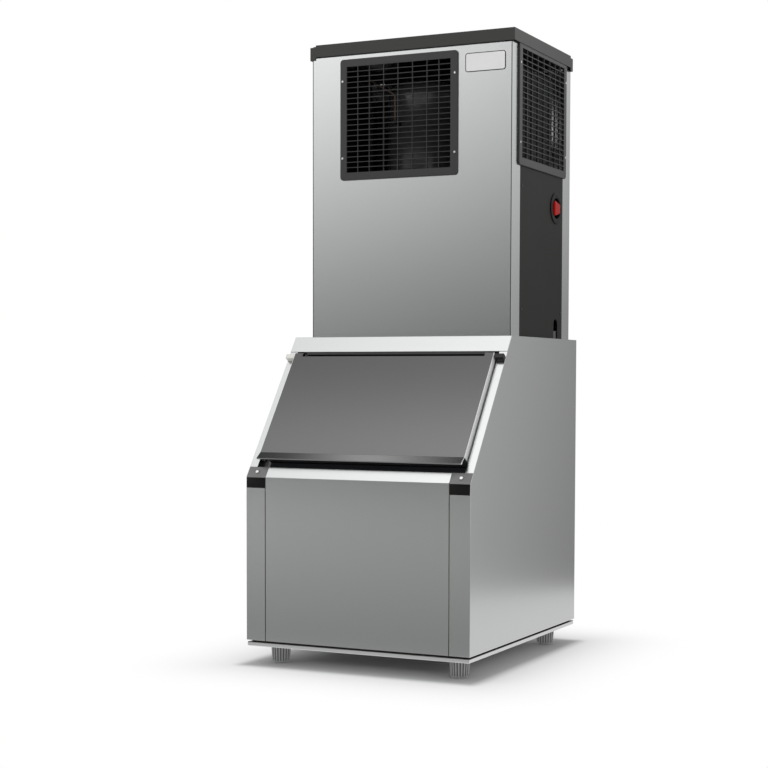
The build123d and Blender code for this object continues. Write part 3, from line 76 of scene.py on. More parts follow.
class Socket:
    """A socket of a shader's tree that can be used in Python arithmetic."""

    def __init__(self, shader: "Graph", link: bpy.types.NodeSocket) -> None:
        """Wrap one output socket.

        Args:
            shader: The shader whose tree holds the socket.
            link: The output socket itself.
        """
        self.shader = shader
        self.link = link

    def _math(self, operation: str, *values: Value, clamp: bool = False) -> "Socket":
        """Add one Math node.

        Args:
            operation: The node's operation.
            values: Its inputs in order.
            clamp: Whether the result stays between 0 and 1.

        Returns:
            The node's result.
        """
        settings = {"operation": operation, "use_clamp": clamp}
        return self.shader.node("ShaderNodeMath", settings, dict(enumerate(values)))

    def __add__(self, other: Value) -> "Socket":
        """Sum of two values."""
        return self._math("ADD", self, other)

    def __radd__(self, other: Value) -> "Socket":
        """Sum with a plain number on the left."""
        return self._math("ADD", other, self)

    def __sub__(self, other: Value) -> "Socket":
        """Difference of two values."""
        return self._math("SUBTRACT", self, other)

    def __rsub__(self, other: Value) -> "Socket":
        """Difference from a plain number on the left."""
        return self._math("SUBTRACT", other, self)

    def __mul__(self, other: Value) -> "Socket":
        """Product of two values."""
        return self._math("MULTIPLY", self, other)

    def __rmul__(self, other: Value) -> "Socket":
        """Product with a plain number on the left."""
        return self._math("MULTIPLY", other, self)

    def __truediv__(self, other: Value) -> "Socket":
        """Quotient of two values."""
        return self._math("DIVIDE", self, other)

    def size(self) -> "Socket":
        """The value without its sign."""
        return self._math("ABSOLUTE", self)

    def positive(self) -> "Socket":
        """The value, or 0 where it is below 0."""
        return self._math("MAXIMUM", self, 0.0)

    def root(self) -> "Socket":
        """The square root."""
        return self._math("SQRT", self)

    def power(self, exponent: float) -> "Socket":
        """This value to a power."""
        return self._math("POWER", self, exponent)

    def clamped(self) -> "Socket":
        """The value held between 0 and 1."""
        return self._math("ADD", self, 0.0, clamp=True)

    def band(self, low: float, high: float) -> "Socket":
        """A smooth rise from 0 at low to 1 at high.

        Args:
            low: The value where the rise starts.
            high: The value where it ends.

        Returns:
            The eased mask.
        """
        settings = {"interpolation_type": "SMOOTHSTEP"}
        inputs = {"Value": self, "From Min": low, "From Max": high, "To Min": 0.0, "To Max": 1.0}
        return self.shader.node("ShaderNodeMapRange", settings, inputs)


class Graph:
    """A node tree that is written as Python expressions."""

    def __init__(self, tree: bpy.types.NodeTree) -> None:
        """Take over a tree and clear it.

        Args:
            tree: The tree of a material or of the world.
        """
        self.tree = tree
        self.tree.nodes.clear()

    def node(
        self,
        kind: str,
        settings: Optional[dict[str, Any]] = None,
        inputs: Optional[dict[Any, Any]] = None,
        output: Union[int, str] = 0,
    ) -> Socket:
        """Add a node, set it up and feed its sockets.

        Args:
            kind: The node's type.
            settings: Properties of the node, set before its sockets; "stops" fills a ramp.
            inputs: A value or a Socket for each input, by name or index.
            output: The output that is returned.

        Returns:
            That output, wrapped.
        """
        made = self.tree.nodes.new(kind)
        for key, value in (settings or {}).items():
            if key == "stops":
                ramp = made.color_ramp
                while len(ramp.elements) < len(value):
                    ramp.elements.new(1.0)
                for element, (place, colour) in zip(ramp.elements, value):
                    element.position = place
                    element.color = (*colour, 1.0)
            else:
                setattr(made, key, value)
        for key, value in (inputs or {}).items():
            self._feed(made.inputs[key], value)
        return Socket(self, made.outputs[output])

    def _feed(self, socket: bpy.types.NodeSocket, value: Any) -> None:
        """Link a Socket or set a plain value."""
        if isinstance(value, Socket):
            self.tree.links.new(value.link, socket)
        elif isinstance(value, tuple) and len(value) == 3 and socket.type == "RGBA":
            socket.default_value = (*value, 1.0)
        else:
            socket.default_value = value

    def seen_as(self, *rays: str) -> Socket:
        """1 where the surface is met by one of the named kinds of ray.

        Args:
            rays: Outputs of Light Path, such as "Is Camera Ray".

        Returns:
            The mask.
        """
        total: Value = 0.0
        for ray in rays:
            total = self.node("ShaderNodeLightPath", output=ray) + total
        return total.clamped()

    def emission(self, colour: Any, strength: Value) -> Socket:
        """A glow of a colour.

        Args:
            colour: Its colour.
            strength: Its strength, where 1 is white.

        Returns:
            The shader.
        """
        return self.node("ShaderNodeEmission", None, {"Color": colour, "Strength": strength})


class Shader(Graph):
    """A material's node tree with one Principled shader."""

    def __init__(self, name: str) -> None:
        """Start an empty material.

        Args:
            name: The material's name.
        """
        self.material = bpy.data.materials.new(name)
        self.material.use_nodes = True
        super().__init__(self.material.node_tree)
        self.output = self.tree.nodes.new("ShaderNodeOutputMaterial")
        self.surface = self.tree.nodes.new("ShaderNodeBsdfPrincipled")
        self.tree.links.new(self.surface.outputs["BSDF"], self.output.inputs["Surface"])

    def place(self) -> Socket:
        """The point's place on the object, in metres."""
        return self.node("ShaderNodeTexCoord", output="Object")

    def scaled(self, place: Socket, factors: tuple[float, float, float]) -> Socket:
        """The place stretched by a factor along each axis.

        Args:
            place: The place to stretch.
            factors: The factor for each axis.

        Returns:
            The stretched place.
        """
        return self.node("ShaderNodeVectorMath", {"operation": "MULTIPLY"}, {0: place, 1: factors})

    def along(self, place: Socket, axis: str) -> Socket:
        """The place along one axis: X, Y or Z."""
        return self.node("ShaderNodeSeparateXYZ", None, {0: place}, output=axis)

    def noise(self, place: Socket, scale: float, detail: float = 2.0) -> Socket:
        """Smooth noise between about 0.3 and 0.7.

        Args:
            place: Where it is read.
            scale: Its frequency in cycles per metre.
            detail: How many finer layers it has.

        Returns:
            The noise value.
        """
        return self.node("ShaderNodeTexNoise", None, {"Vector": place, "Scale": scale, "Detail": detail})

    def blend(self, mask: Value, first: Any, second: Any) -> Socket:
        """A colour between two colours.

        Args:
            mask: 0 for the first, 1 for the second.
            first: The first colour.
            second: The second colour.

        Returns:
            The mixed colour.
        """
        settings = {"data_type": "RGBA"}
        return self.node("ShaderNodeMix", settings, {0: mask, 6: first, 7: second}, output=2)

    def bump(self, height: Socket, strength: float, distance: float) -> Socket:
        """A normal that follows a height.

        Args:
            height: The height field.
            strength: How much of it shows.
            distance: Its depth in metres.

        Returns:
            The bent normal.
        """
        inputs = {"Height": height, "Strength": strength, "Distance": distance}
        return self.node("ShaderNodeBump", None, inputs)

    def finish(self, **sockets: Any) -> bpy.types.Material:
        """Feed the Principled shader and hand over the material.

        Args:
            sockets: Values or Sockets by input name, with underscores for spaces.

        Returns:
            The finished material.
        """
        for key, value in sockets.items():
            self._feed(self.surface.inputs[key.replace("_", " ")], value)
        return self.material


def shade(colour: Colour, factor: float) -> Colour:
    """A colour made lighter or darker by a factor."""
    return (colour[0] * factor, colour[1] * factor, colour[2] * factor)


@dataclass(frozen=True)
class BrushedSteel:
    """Stainless sheet with fine scratches along one axis and a faint cloudiness, with painted shade along upright
    seams and above a shadow gap.
    """

    colour: Colour
    grain: Grain = Grain.ACROSS
    roughness: float = 0.23
    streak: float = 0.012
    anisotropy: float = 0.25
    seams: tuple[tuple[float, float], ...] = ()
    seam_reach: float = 0.0015
    seam_shade: float = 0.85
    shadow_gap: Optional[float] = None

    def material(self, name: str) -> bpy.types.Material:
        """Build the steel.

        Args:
            name: The material's name.

        Returns:
            The material.
        """
        shader = Shader(name)
        place = shader.place()
        hair = shader.noise(shader.scaled(place, self.grain.value), 45.0, 3.0)
        cloud = shader.noise(place, 3.0, 3.0)
        mark = (hair - 0.5) * self.streak * 4.0 + (cloud - 0.5) * 0.03 + 0.5
        colour = shader.blend(mark.clamped(), shade(self.colour, 0.88), shade(self.colour, 1.12))
        dark = shade(self.colour, 1.0 - self.seam_shade)
        # dark is painted shade: the sheet is darkened along each seam, where shade falls in the gap between panels.
        for across, depth in self.seams:
            colour = shader.blend(self._near(shader, place, across, depth), colour, dark)
        # Painted shadow: above the shadow_gap height the frame is darkened, standing for the shade in the gap under
        # the panels.
        if self.shadow_gap is not None:
            height = shader.along(place, "Z")
            colour = shader.blend(height.band(self.shadow_gap - 0.0003, self.shadow_gap + 0.0003), colour, dark)
        rough = (hair - 0.5) * 0.02 + (cloud - 0.5) * 0.02 + self.roughness
        return shader.finish(Base_Color=colour, Metallic=1.0, Roughness=rough, Anisotropic=self.anisotropy)

    def _near(self, shader: "Shader", place: Socket, across: float, depth: float) -> Socket:
        """How near a point is to an upright seam on the left or the right side, where painted shade darkens the
        sheet.

        Args:
            shader: The steel's shader.
            place: The point.
            across: The seam's distance from the middle.
            depth: Its place from front to back.

        Returns:
            1 in the seam, 0 beyond its reach.
        """
        sideways = shader.along(place, "X").size() - across
        inwards = shader.along(place, "Y") - depth
        away = (sideways * sideways + inwards * inwards).root()
        return 1.0 - away.band(self.seam_reach * 0.4, self.seam_reach)


@dataclass(frozen=True)
class DoorSteel:
    """Dark brushed sheet of the door, painted lighter towards its foot, with a polished lip and turned-down sides
    whose colours are painted reflection.
    """

    top_colour: Colour
    foot_colour: Colour
    lip_colour: Colour
    side_colour: Colour
    roughness: float = 0.30
    lip_roughness: float = 0.15
    side_reach: float = 0.2553
    crease: tuple[float, float] = (-0.325, 0.432)
    slope: tuple[float, float] = (0.5767, 0.8170)
    foot: float = 0.058
    head: float = 0.338

    def material(self, name: str) -> bpy.types.Material:
        """Build the steel.

        Args:
            name: The material's name.

        Returns:
            The material.
        """
        shader = Shader(name)
        place = shader.place()
        hair = shader.noise(shader.scaled(place, Grain.ACROSS.value), 45.0, 3.0)
        cloud = shader.noise(place, 3.0, 3.0)
        across = shader.along(place, "X")
        depth = shader.along(place, "Y")
        height = shader.along(place, "Z")
        along = (depth - self.crease[0]) * self.slope[0] + (height - self.crease[1]) * self.slope[1]
        # Painted shade: the sheet's colour runs from the lighter foot to the darker top, as the light falls along the
        # slope.
        sheet = shader.blend(along.band(self.foot, self.head), self.foot_colour, self.top_colour)
        mark = ((hair - 0.5) * 0.4 + (cloud - 0.5) * 0.3 + 0.15).clamped()
        sheet = shader.blend(mark, sheet, shade(self.foot_colour, 0.8))
        # Painted reflection: the lip gets its own lighter colour for the reflection it shows; its lower roughness is
        # the real polish.
        lip = 1.0 - along.band(self.foot - 0.0008, self.foot - 0.0003)
        # Painted reflection: the turned-down sides are coloured near-white and made mostly non-metal to show the
        # light they reflect.
        side = across.size().band(self.side_reach - 0.0002, self.side_reach + 0.0002)
        colour = shader.blend(side, shader.blend(lip, sheet, self.lip_colour), self.side_colour)
        rough = (hair - 0.5) * 0.06 + self.roughness - lip * (self.roughness - self.lip_roughness)
        normal = shader.bump(hair, 0.03, 0.0002)
        metal = 1.0 - side * 0.9
        return shader.finish(Base_Color=colour, Metallic=metal, Roughness=rough, Normal=normal)


@dataclass(frozen=True)
class CornerCap:
    """Moulded corner cap: dark, with the face on the slope that carries the screw painted paler as a painted
    reflection.
    """

    colour: Colour
    face_colour: Colour
    roughness: float = 0.3
    specular: float = 0.15
    crease: tuple[float, float] = (-0.325, 0.432)
    slope: tuple[float, float] = (0.5767, 0.8170)

    def material(self, name: str) -> bpy.types.Material:
        """Build the plastic.

        Args:
            name: The material's name.

        Returns:
            The material.
        """
        shader = Shader(name)
        place = shader.place()
        grain = shader.noise(place, 1400.0, 1.0)
        cloud = shader.noise(place, 40.0, 2.0)
        depth = shader.along(place, "Y")
        height = shader.along(place, "Z")
        out = (height - self.crease[1]) * self.slope[0] - (depth - self.crease[0]) * self.slope[1]
        # Painted reflection: the upward face on the slope is coloured paler for the bright room it reflects.
        face = out.band(-0.0009, -0.0004)
        colour = shader.blend(cloud.clamped(), self.face_colour, shade(self.face_colour, 0.6))
        colour = shader.blend(face, self.colour, colour)
        rough = (cloud - 0.5) * 0.1 + (grain - 0.5) * 0.08 + self.roughness
        normal = shader.bump(grain, 0.08, 0.0003)
        return shader.finish(Base_Color=colour, Roughness=rough, Specular_IOR_Level=self.specular, Normal=normal)


@dataclass(frozen=True)
class PowderCoat:
    """Painted sheet with a fine orange-peel skin."""

    colour: Colour
    roughness: float = 0.45
    peel: float = 0.15
    fleck: float = 0.12
    specular: float = 0.5

    def material(self, name: str) -> bpy.types.Material:
        """Build the paint.

        Args:
            name: The material's name.

        Returns:
            The material.
        """
        shader = Shader(name)
        place = shader.place()
        fine = shader.noise(place, 900.0, 2.0)
        cloud = shader.noise(place, 5.0, 3.0)
        mark = ((fine - 0.5) * 0.8 + (cloud - 0.5) + 0.5).clamped()
        colour = shader.blend(mark, shade(self.colour, 1.0 - self.fleck), shade(self.colour, 1.0 + self.fleck))
        rough = (cloud - 0.5) * 0.12 + (fine - 0.5) * 0.10 + self.roughness
        normal = shader.bump(fine, self.peel, 0.0004)
        return shader.finish(Base_Color=colour, Roughness=rough, Specular_IOR_Level=self.specular, Normal=normal)


@dataclass(frozen=True)
class MouldedPlastic:
    """Moulded plastic with a faint grain and dust in its clouding."""

    colour: Colour
    roughness: float = 0.4
    grain: float = 0.08
    coat: float = 0.0
    alpha: float = 1.0
    transmission: float = 0.0
    specular: float = 0.5

    def material(self, name: str) -> bpy.types.Material:
        """Build the plastic.

        Args:
            name: The material's name.

        Returns:
            The material.
        """
        shader = Shader(name)
        place = shader.place()
        grain = shader.noise(place, 1400.0, 1.0)
        cloud = shader.noise(place, 14.0, 3.0)
        colour = shader.blend(cloud.clamped(), shade(self.colour, 0.86), shade(self.colour, 1.14))
        rough = (cloud - 0.5) * 0.14 + (grain - 0.5) * 0.08 + self.roughness
        normal = shader.bump(grain, self.grain, 0.0003)
        return shader.finish(
            Base_Color=colour, Roughness=rough, Normal=normal, Coat_Weight=self.coat,
            Alpha=self.alpha, Transmission_Weight=self.transmission, Specular_IOR_Level=self.specular,
        )


@dataclass(frozen=True)
class LinerPlastic:
    """The liner's dark plastic, with a pale band painted at the rim beside the door as painted light in the gap."""

    colour: Colour
    rim_colour: Colour
    rim: float = 0.2530
    roughness: float = 0.4

    def material(self, name: str) -> bpy.types.Material:
        """Build the plastic.

        Args:
            name: The material's name.

        Returns:
            The material.
        """
        shader = Shader(name)
        place = shader.place()
        grain = shader.noise(place, 1400.0, 1.0)
        cloud = shader.noise(place, 14.0, 3.0)
        colour = shader.blend(cloud.clamped(), shade(self.colour, 0.86), shade(self.colour, 1.14))
        # Painted light: a pale band at the rim lightens the gap beside the door.
        rim = shader.along(place, "X").size().band(self.rim - 0.0002, self.rim + 0.0002)
        colour = shader.blend(rim, colour, self.rim_colour)
        rough = (cloud - 0.5) * 0.14 + self.roughness
        return shader.finish(Base_Color=colour, Roughness=rough, Normal=shader.bump(grain, 0.08, 0.0003))


@dataclass(frozen=True)
class FlutedPlastic:
    """The feet's grey plastic, with painted shade darkening the flutes between the ribs above the rim."""

    rib_colour: Colour
    flute_colour: Colour
    middle: tuple[float, float] = (0.227, 0.259)
    low: tuple[float, float] = (0.0025, 0.0205)
    high: tuple[float, float] = (0.0395, 0.0230)
    flute: float = 0.0014
    rim: float = 0.0050
    roughness: float = 0.36

    def material(self, name: str) -> bpy.types.Material:
        """Build the plastic.

        Args:
            name: The material's name.

        Returns:
            The material.
        """
        shader = Shader(name)
        place = shader.place()
        grain = shader.noise(place, 1400.0, 1.0)
        sideways = shader.along(place, "X").size() - self.middle[0]
        inwards = shader.along(place, "Y").size() - self.middle[1]
        height = shader.along(place, "Z")
        reach = (sideways * sideways + inwards * inwards).root()
        taper = (self.high[1] - self.low[1]) / (self.high[0] - self.low[0])
        outline = (height - self.low[0]) * taper + self.low[1]
        # Painted shade: the flutes are darkened where shade falls between the ribs.
        flute_shade = ((outline - reach) / self.flute).band(0.1, 0.9)
        flute_shade = flute_shade * height.band(self.rim - 0.001, self.rim)
        colour = shader.blend(flute_shade, self.rib_colour, self.flute_colour)
        rough = (grain - 0.5) * 0.08 + self.roughness
        return shader.finish(Base_Color=colour, Roughness=rough, Normal=shader.bump(grain, 0.08, 0.0003))


@dataclass(frozen=True)
class DrawnMetal:
    """Drawn, cast or machined metal with a dull film."""

    colour: Colour
    roughness: float = 0.35
    film: Colour = (0.30, 0.25, 0.2)
    film_share: float = 0.25
    blacked_below: Optional[float] = None

    def material(self, name: str) -> bpy.types.Material:
        """Build the metal.

        Args:
            name: The material's name.

        Returns:
            The material.
        """
        shader = Shader(name)
        place = shader.place()
        cloud = shader.noise(place, 30.0, 4.0)
        fine = shader.noise(place, 500.0, 2.0)
        colour = shader.blend(cloud.band(0.45, 0.75) * self.film_share, self.colour, self.film)
        if self.blacked_below is not None:
            height = shader.along(place, "Z")
            blacked = 1.0 - height.band(self.blacked_below - 0.001, self.blacked_below)
            colour = shader.blend(blacked, colour, shade(self.colour, 0.1))
        rough = (cloud - 0.5) * 0.2 + (fine - 0.5) * 0.1 + self.roughness
        normal = shader.bump(fine, 0.06, 0.0003)
        return shader.finish(Base_Color=colour, Metallic=1.0, Roughness=rough, Normal=normal)


@dataclass(frozen=True)
class Foam:
    """Sprayed insulation foam with open cells."""

    colour: Colour
    cell: float = 260.0

    def material(self, name: str) -> bpy.types.Material:
        """Build the foam.

        Args:
            name: The material's name.

        Returns:
            The material.
        """
        shader = Shader(name)
        place = shader.place()
        cells = shader.node("ShaderNodeTexVoronoi", None, {"Vector": place, "Scale": self.cell})
        cloud = shader.noise(place, 9.0, 4.0)
        colour = shader.blend(cloud.band(0.3, 0.7), shade(self.colour, 0.8), self.colour)
        normal = shader.bump(cells, 0.5, 0.0012)
        return shader.finish(Base_Color=colour, Roughness=0.9, Normal=normal)


Finish = Union[BrushedSteel, DoorSteel, CornerCap, PowderCoat, MouldedPlastic, LinerPlastic, FlutedPlastic, DrawnMetal, Foam]


@dataclass
class Wardrobe:
    """Every finish of the machine, made once and handed out by slot name."""

    finishes: dict[str, Finish] = field(default_factory=lambda: {
        # brushed_steel: seams paint shade along the bin front's and the head front's upright edges.
        "brushed_steel": BrushedSteel((0.495, 0.503, 0.502), seams=((0.230, -0.325), (0.2576, -0.053))),
        # door_steel: the lighter foot, the lighter lip and the near-white sides are painted light.
        "door_steel": DoorSteel((0.082, 0.082, 0.083), (0.135, 0.135, 0.136), (0.22, 0.22, 0.22), (0.85, 0.85, 0.85)),
        # galvanized is coloured far darker than galvanised steel is: painted shade for the dark inside of the head.
        "galvanized": DrawnMetal((0.14, 0.145, 0.15), 0.45, (0.10, 0.105, 0.11), 0.6),
        # base_steel: shadow_gap paints the shade of the gap under the panels as a dark band on the frame's top.
        "base_steel": BrushedSteel((0.62, 0.625, 0.625), Grain.ACROSS, 0.34, shadow_gap=0.0515),
        "dark_panel": PowderCoat((0.011, 0.011, 0.010), 0.5, 0.15, 0.12, 0.15),
        "lid_paint": PowderCoat((0.036, 0.036, 0.034), 0.42, 0.15, 0.12, 0.3),
        # cap_plastic: the pale face on the slope is a painted reflection.
        "cap_plastic": CornerCap((0.007, 0.007, 0.007), (0.24, 0.24, 0.238)),
        "grille_plastic": MouldedPlastic((0.020, 0.020, 0.0195), 0.42, 0.1),
        "black_plastic": MouldedPlastic((0.012, 0.012, 0.012), 0.3, 0.05, specular=0.25),
        # foot_plastic: the dark flutes are painted shade.
        "foot_plastic": FlutedPlastic((0.42, 0.425, 0.425), (0.06, 0.062, 0.062)),
        "switch_black": MouldedPlastic((0.006, 0.006, 0.006), 0.4, 0.05, specular=0.1),
        "panel_screws": DrawnMetal((0.60, 0.60, 0.59), 0.3, (0.36, 0.36, 0.36), 0.2, blacked_below=1.14),
        # liner_plastic: the pale rim band is painted light.
        "liner_plastic": LinerPlastic((0.05, 0.053, 0.06), (0.62, 0.63, 0.63)),
        "white_plastic": MouldedPlastic((0.72, 0.73, 0.73), 0.42),
        "clear_plastic": MouldedPlastic((0.85, 0.88, 0.90), 0.12, 0.02, 0.0, 0.45),
        "foam": Foam((0.80, 0.70, 0.42)),
        "rubber": MouldedPlastic((0.016, 0.016, 0.016), 0.62, 0.2),
        "hose": MouldedPlastic((0.70, 0.70, 0.66), 0.35, 0.03),
        "screw_steel": DrawnMetal((0.60, 0.60, 0.59), 0.3, (0.36, 0.36, 0.36), 0.2),
        "badge": MouldedPlastic((0.74, 0.745, 0.74), 0.3, 0.03, 0.3),
        "red_plastic": MouldedPlastic((0.36, 0.004, 0.003), 0.35, 0.02, specular=0.1),
        "compressor_paint": PowderCoat((0.045, 0.045, 0.047), 0.26, 0.08),
        # aluminium and copper are darkened as painted shade for the dark inside of the head.
        "aluminium": DrawnMetal((0.46, 0.46, 0.46), 0.36, (0.30, 0.30, 0.30), 0.4),
        "copper": DrawnMetal((0.085, 0.062, 0.052), 0.4, (0.055, 0.042, 0.036), 0.7),
        "evaporator_plate": DrawnMetal((0.74, 0.75, 0.77), 0.24, (0.5, 0.51, 0.52), 0.3),
        "brass": DrawnMetal((0.74, 0.56, 0.28), 0.3, (0.3, 0.22, 0.1), 0.4),
    })
    own_finish: dict[str, str] = field(default_factory=lambda: {
        "head_lid": "lid_paint", "corner_cap_right": "cap_plastic", "corner_cap_left": "cap_plastic",
        # condenser and filter_drier take the darkened galvanized finish, which is painted shade.
        "switch_plate": "switch_black", "control_box": "dark_panel", "condenser": "galvanized",
        "filter_drier": "galvanized", "head_screws": "panel_screws",
    })
    made: dict[str, bpy.types.Material] = field(default_factory=dict)

    def material(self, finish: str) -> bpy.types.Material:
        """A finish's material, built the first time it is asked for.

        Args:
            finish: The finish's name, which is a slot's name unless a node has its own.

        Returns:
            The material.
        """
        if finish not in self.made:
            self.made[finish] = self.finishes[finish].material(finish)
        return self.made[finish]

    def for_node(self, node: str) -> bpy.types.Material:
        """The material of a node: its own finish, or that of its slot."""
        return self.material(self.own_finish.get(node, slot_of(node)))

    def dress(self, node: str) -> None:
        """Give a carried-over solid the finish of its slot.

        Args:
            node: The solid's node.
        """
        slot = slot_of(node)
        NODES[node].data.materials.clear()
        NODES[node].data.materials.append(self.for_node(node))
        log.info("%s: %s", node, slot)


def slot_of(node: str) -> str:
    """The material slot that the record gives a node."""
    for row in frame["record"]["subparts"]:
        if row["node"] == node:
            return str(row["material_slot"])
    raise KeyError(node)


def bodies_of(node: str) -> str:
    """The body that a node belongs to."""
    for body, nodes in frame["record"]["behaviour"]["bodies"].items():
        if node in nodes:
            return str(body)
    raise KeyError(node)


def place_piece(
    mesh: bmesh.types.BMesh, name: str, slot: str, wardrobe: Wardrobe, body: str, smooth: Optional[float] = 30.0
) -> bpy.types.Object:
    """Turn a finished bmesh into a dressed piece that rides on a body.

    Args:
        mesh: The shape, in its place in the row frame.
        name: The piece's name.
        slot: The record's material slot.
        wardrobe: Where its material comes from.
        body: The body it rides on.
        smooth: Edges that turn by more than this angle stay sharp; None leaves the faces as they are.

    Returns:
        The new object.
    """
    data = bpy.data.meshes.new(name)
    mesh.to_mesh(data)
    mesh.free()
    if smooth is not None:
        data.polygons.foreach_set("use_smooth", [True] * len(data.polygons))
        data.set_sharp_from_angle(angle=math.radians(smooth))
    piece = bpy.data.objects.new(name, data)
    bpy.context.scene.collection.objects.link(piece)
    piece.data.materials.append(wardrobe.material(slot))
    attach(piece, body)
    log.info("%s: %d faces", name, len(data.polygons))
    return piece


@dataclass
class FoldedSheet:
    """A sheet panel whose folds are rounded as a press brake leaves them."""

    node: str
    fold: float = 0.0012
    least_width: float = 0.003
    segments: int = 3

    def build(self, wardrobe: Wardrobe) -> bpy.types.Object:
        """Copy the node's solid, round its folds and let the copy stand for it.

        Args:
            wardrobe: Where its material comes from.

        Returns:
            The rounded panel.
        """
        mesh = bmesh.new()
        mesh.from_mesh(NODES[self.node].data)
        bmesh.ops.remove_doubles(mesh, verts=mesh.verts, dist=1e-6)
        bmesh.ops.dissolve_limit(
            mesh, angle_limit=math.radians(0.5), use_dissolve_boundaries=False,
            verts=mesh.verts, edges=mesh.edges, delimit=set(),
        )
        folds = [edge for edge in mesh.edges if self._is_fold(edge)]
        bent = bmesh.ops.bevel(
            mesh, geom=folds, offset=self.fold, offset_type="OFFSET", affect="EDGES",
            segments=self.segments, profile=0.5, material=-1, clamp_overlap=True,
        )
        for face in bent["faces"]:
            face.smooth = True
        bmesh.ops.triangulate(mesh, faces=mesh.faces)
        piece = place_piece(mesh, f"{self.node}_folded", slot_of(self.node), wardrobe, bodies_of(self.node), None)
        piece.data.materials[0] = wardrobe.for_node(self.node)
        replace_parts(piece, self.node)
        return piece

    def _is_fold(self, edge: bmesh.types.BMEdge) -> bool:
        """Whether an edge joins two faces that are both wider than the sheet is thick."""
        if len(edge.link_faces) != 2 or edge.calc_face_angle(0.0) < math.radians(25):
            return False
        length = edge.calc_length()
        if length < self.least_width:
            return False
        return all(face.calc_area() / length > self.least_width for face in edge.link_faces)


@dataclass
class SmoothSolid:
    """A turned, moulded or cast piece: its solid with rounded edges and smooth shading."""

    node: str
    edge: float = 0.0006
    segments: int = 2
    sharp: float = 35.0

    def build(self, wardrobe: Wardrobe) -> bpy.types.Object:
        """Copy the node's solid, take its edges off and let the copy stand for it.

        Args:
            wardrobe: Where its material comes from.

        Returns:
            The smooth piece.
        """
        mesh = bmesh.new()
        mesh.from_mesh(NODES[self.node].data)
        bmesh.ops.remove_doubles(mesh, verts=mesh.verts, dist=1e-6)
        if self.edge:
            bmesh.ops.dissolve_limit(
                mesh, angle_limit=math.radians(0.5), use_dissolve_boundaries=False,
                verts=mesh.verts, edges=mesh.edges, delimit=set(),
            )
            rims = [edge for edge in mesh.edges if edge.calc_face_angle(0.0) > math.radians(self.sharp)]
            bmesh.ops.bevel(
                mesh, geom=rims, offset=self.edge, offset_type="OFFSET", affect="EDGES",
                segments=self.segments, profile=0.5, material=-1, clamp_overlap=True,
            )
            bmesh.ops.triangulate(mesh, faces=mesh.faces)
        piece = place_piece(
            mesh, f"{self.node}_smooth", slot_of(self.node), wardrobe, bodies_of(self.node), self.sharp
        )
        piece.data.materials[0] = wardrobe.for_node(self.node)
        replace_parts(piece, self.node)
        return piece


@dataclass
class ScrewShape:
    """A round-head screw with a cross recess, drawn once at the origin with its head up."""

    head_radius: float
    head_height: float
    segments: int = 28
    dome: float = 0.5
    recess_reach: float = 0.6
    recess_width: float = 0.13
    recess_depth: float = 0.55

    def build(self) -> bpy.types.Mesh:
        """Build the head: a domed disc with a cross sunk into it.

        Returns:
            The screw's mesh.
        """
        mesh = bmesh.new()
        bmesh.ops.create_cone(
            mesh, cap_ends=True, segments=self.segments, radius1=self.head_radius,
            radius2=self.head_radius, depth=self.head_height,
            matrix=Matrix.Translation((0.0, 0.0, self.head_height / 2)),
        )
        top = max(mesh.faces, key=lambda face: face.calc_center_median().z)
        bmesh.ops.bevel(
            mesh, geom=list(top.edges), offset=self.head_height * self.dome, offset_type="OFFSET",
            affect="EDGES", segments=3, profile=0.5, material=-1,
        )
        self._sink_cross(mesh)
        data = bpy.data.meshes.new("screw_shape")
        mesh.to_mesh(data)
        mesh.free()
        return data

    def _sink_cross(self, mesh: bmesh.types.BMesh) -> None:
        """Cut the top face into a cross and push the cross down.

        Args:
            mesh: The head.
        """
        top = max(mesh.faces, key=lambda face: face.calc_center_median().z)
        geometry: list[Any] = [top, *top.edges, *top.verts]
        reach, width = self.head_radius * self.recess_reach, self.head_radius * self.recess_width
        for normal in (Vector((1, 0, 0)), Vector((0, 1, 0))):
            for offset in (-reach, -width, width, reach):
                cut = bmesh.ops.bisect_plane(mesh, geom=geometry, plane_co=normal * offset, plane_no=normal)
                geometry = cut["geom"]
        cross = []
        for face in (part for part in geometry if isinstance(part, bmesh.types.BMFace)):
            near, far = sorted(abs(value) for value in face.calc_center_median().xy)
            if near < width and far < reach:
                cross.append(face)
        pushed = bmesh.ops.extrude_face_region(mesh, geom=cross)
        floor = [part for part in pushed["geom"] if isinstance(part, bmesh.types.BMVert)]
        bmesh.ops.translate(mesh, verts=floor, vec=(0.0, 0.0, -self.head_height * self.recess_depth))


@dataclass
class Screws:
    """A group of equal screws that stands for a group node."""

    node: str
    shape: ScrewShape
    places: list[tuple[Vector, Vector]]

    def build(self, wardrobe: Wardrobe) -> bpy.types.Object:
        """Set one screw in each place.

        Args:
            wardrobe: Where the material comes from.

        Returns:
            The screws, as one piece.
        """
        pattern = self.shape.build()
        mesh = bmesh.new()
        for index, (seat, outward) in enumerate(self.places):
            old = set(mesh.verts)
            mesh.from_mesh(pattern)
            turn = Vector((0.0, 0.0, 1.0)).rotation_difference(outward).to_matrix().to_4x4()
            spin = Matrix.Rotation(math.radians(37.0 * index), 4, "Z")
            fresh = [vert for vert in mesh.verts if vert not in old]
            bmesh.ops.transform(mesh, matrix=Matrix.Translation(seat) @ turn @ spin, verts=fresh)
        bpy.data.meshes.remove(pattern)
        piece = place_piece(mesh, f"{self.node}_crossed", "screw_steel", wardrobe, Body.CABINET.value, 40.0)
        piece.data.materials[0] = wardrobe.for_node(self.node)
        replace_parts(piece, self.node)
        return piece


